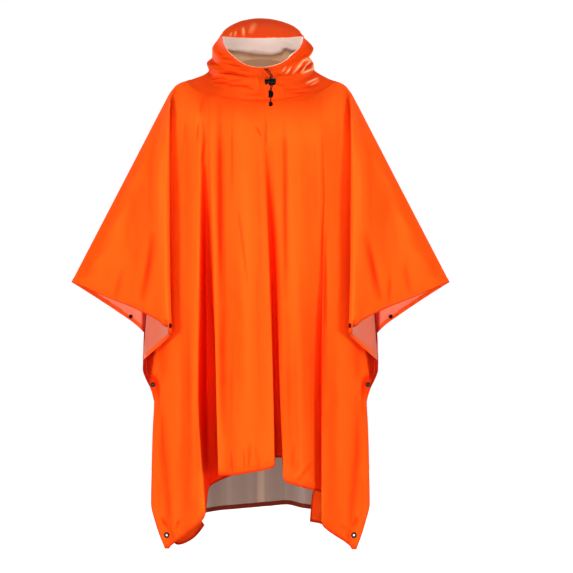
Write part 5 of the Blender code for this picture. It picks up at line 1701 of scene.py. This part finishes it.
# %% The route of a row of stitches
def seam_route(name, piece, distance, lift):
    """The line on the cloth at that distance from its cut edges, lifted onto its outer surface."""
    mesh = piece.data
    values = read_attribute(mesh, "hem_distance")
    points, normals = read_points(mesh)
    made, found_at, steps = [], {}, []
    for f in mesh.polygons:
        ring = list(f.vertices)
        found = []
        for a, b in zip(ring, ring[1:] + ring[:1]):
            if (values[a] < distance) == (values[b] < distance):
                continue
            key = (min(a, b), max(a, b))
            if key not in found_at:
                share = (distance - values[a]) / (values[b] - values[a])
                found_at[key] = len(made)
                normal = normals[a] + (normals[b] - normals[a]) * share
                made.append(points[a] + (points[b] - points[a]) * share + normal * lift)
            found.append(found_at[key])
        if len(found) == 2:
            steps.append(found)
    route = bpy.data.meshes.new(name)
    route.from_pydata(made, steps, [])
    return route


# %% Geometry Nodes for the stitches
def make_stitch_tree():
    tree = bpy.data.node_groups.new("lockstitch", "GeometryNodeTree")
    tree.interface.new_socket("Route", in_out="INPUT", socket_type="NodeSocketGeometry")
    for label in ("Step", "Stitch length", "Thread radius"):
        tree.interface.new_socket(label, in_out="INPUT", socket_type="NodeSocketFloat")
    tree.interface.new_socket("Stitches", in_out="OUTPUT", socket_type="NodeSocketGeometry")
    sizes = tree.nodes.new("NodeGroupInput")
    curve = tree.nodes.new("GeometryNodeMeshToCurve")
    spots = tree.nodes.new("GeometryNodeCurveToPoints")
    spots.mode = "LENGTH"
    stitch = tree.nodes.new("GeometryNodeMeshCylinder")
    stitch.inputs["Vertices"].default_value = 6
    lay = tree.nodes.new("GeometryNodeInstanceOnPoints")
    realize = tree.nodes.new("GeometryNodeRealizeInstances")
    colour = tree.nodes.new("GeometryNodeSetMaterial")
    colour.inputs["Material"].default_value = thread
    result = tree.nodes.new("NodeGroupOutput")
    tree.links.new(sizes.outputs["Route"], curve.inputs[0])
    tree.links.new(curve.outputs[0], spots.inputs["Curve"])
    tree.links.new(sizes.outputs["Step"], spots.inputs["Length"])
    tree.links.new(sizes.outputs["Stitch length"], stitch.inputs["Depth"])
    tree.links.new(sizes.outputs["Thread radius"], stitch.inputs["Radius"])
    tree.links.new(spots.outputs["Points"], lay.inputs["Points"])
    tree.links.new(spots.outputs["Rotation"], lay.inputs["Rotation"])
    tree.links.new(stitch.outputs["Mesh"], lay.inputs["Instance"])
    tree.links.new(lay.outputs[0], realize.inputs[0])
    tree.links.new(realize.outputs[0], colour.inputs["Geometry"])
    tree.links.new(colour.outputs[0], result.inputs[0])
    return tree


STITCH_SIZES = {"Step": 0.0040, "Stitch length": 0.0026, "Thread radius": 0.00032}
stitch_tree = make_stitch_tree()


def make_stitches(name, piece, distance):
    route = add_piece(name + "_route", seam_route(name, piece, distance, HEM_THICKNESS / 2 + 0.0001))
    modifier = route.modifiers.new("lockstitch", "NODES")
    modifier.node_group = stitch_tree
    for socket in stitch_tree.interface.items_tree:
        if socket.name in STITCH_SIZES:
            modifier[socket.identifier] = STITCH_SIZES[socket.name]
    graph = bpy.context.evaluated_depsgraph_get()
    mesh = bpy.data.meshes.new_from_object(route.evaluated_get(graph), depsgraph=graph)
    bpy.data.objects.remove(route)
    stitches = add_piece(name, mesh)
    print(name, len(mesh.polygons) // FACES_A_STITCH, "stitches")
    dress(stitches, "cloth_orange")


FACES_A_STITCH = 8            # six sides and two ends
HEM_ROW, CHANNEL_ROW = 0.0086, 0.0115     # how far the stitches are from the cut edge
for panel in (front, back):
    make_stitches(panel.name + "_stitches", panel, HEM_ROW)
for hood_piece in (hood_left, hood_centre, hood_right):
    make_stitches(hood_piece.name + "_stitches", hood_piece, CHANNEL_ROW)

# %% [markdown]
# ## Each piece in the place of its plain node
# Each piece of cloth stands for the plain solid in the same place. The size that it was cut to, which is more
# than its surface here: the hidden inner layers of the pleats aren't made.

# %% Ride and replace
for piece, node in ((front, "front_panel"), (back, "back_panel"), (hood_left, "hood_left"),
                    (hood_centre, "hood_centre"), (hood_right, "hood_right")):
    dress(piece, "cloth_orange", node)

# %% [markdown]
# ## Floor and light
# A pale floor well below the hem, large soft lights from both sides of the front, and a pale sky all round.

# %% Floor, sky and lights
FLOOR_Z = -2.6
floor_mesh = bpy.data.meshes.new("floor")
bm = bmesh.new()
bmesh.ops.create_circle(bm, cap_ends=True, segments=64, radius=30.0)
bmesh.ops.translate(bm, vec=(0, 0, FLOOR_Z), verts=bm.verts)
bm.to_mesh(floor_mesh)
bm.free()
floor_white, floor_tree, floor_shader = new_material("floor_white", (0.9, 0.9, 0.9), 0.9)
floor_shader.inputs["Emission Strength"].default_value = 1.0
floor_ray = add_node(floor_tree, "ShaderNodeLightPath")
floor_seen = mix_by(floor_tree, floor_ray.outputs["Is Camera Ray"], (0.15, 0.15, 0.15), (1.0, 1.0, 1.0))
floor_tree.links.new(floor_seen, floor_shader.inputs["Emission Color"])
floor = add_piece("floor", floor_mesh, floor_white)

world = bpy.data.worlds.new("sky")
bpy.context.scene.world = world
world.use_nodes = True
sky_tree = world.node_tree
sky = sky_tree.nodes["Background"]
sky.inputs["Color"].default_value = (1, 1, 1, 1)
SKY_SEEN, SKY_LIGHT = 1.0, 0.25     # the paper white behind the garment, and how much it lights
ray = add_node(sky_tree, "ShaderNodeLightPath")
sky_strength = add_node(sky_tree, "ShaderNodeMapRange")
sky_strength.inputs["To Min"].default_value = SKY_LIGHT
sky_strength.inputs["To Max"].default_value = SKY_SEEN
sky_tree.links.new(ray.outputs["Is Camera Ray"], sky_strength.inputs["Value"])
sky_tree.links.new(sky_strength.outputs["Result"], sky.inputs["Strength"])


def add_softbox(name, place, aim, size, power):
    data = bpy.data.lights.new(name, "AREA")
    data.shape = "RECTANGLE"
    data.size, data.size_y = size
    data.energy = power
    light = bpy.data.objects.new(name, data)
    bpy.context.scene.collection.objects.link(light)
    light.location = place
    light.rotation_euler = (Vector(aim) - Vector(place)).to_track_quat("-Z", "Y").to_euler()
    return light


BODY_MIDDLE = (0.0, 0.0, -0.5)
add_softbox("front_softbox", (-0.6, -8.4, -2.3), BODY_MIDDLE, (3.2, 1.2), 300)
add_softbox("top_softbox", (0.2, 1.5, 4.5), (0.0, 0.0, 0.0), (2.4, 2.0), 175)
add_softbox("left_softbox", (-5.8, -5.0, -1.5), BODY_MIDDLE, (2.0, 2.0), 400)
add_softbox("right_softbox", (6.0, -4.6, -1.4), BODY_MIDDLE, (2.0, 2.0), 350)
add_softbox("back_left_softbox", (-4.5, 6.0, 0.3), BODY_MIDDLE, (2.0, 2.6), 240)
add_softbox("back_right_softbox", (4.5, 6.0, 0.3), BODY_MIDDLE, (2.0, 2.6), 170)

bpy.context.scene.view_settings.view_transform = "Standard"
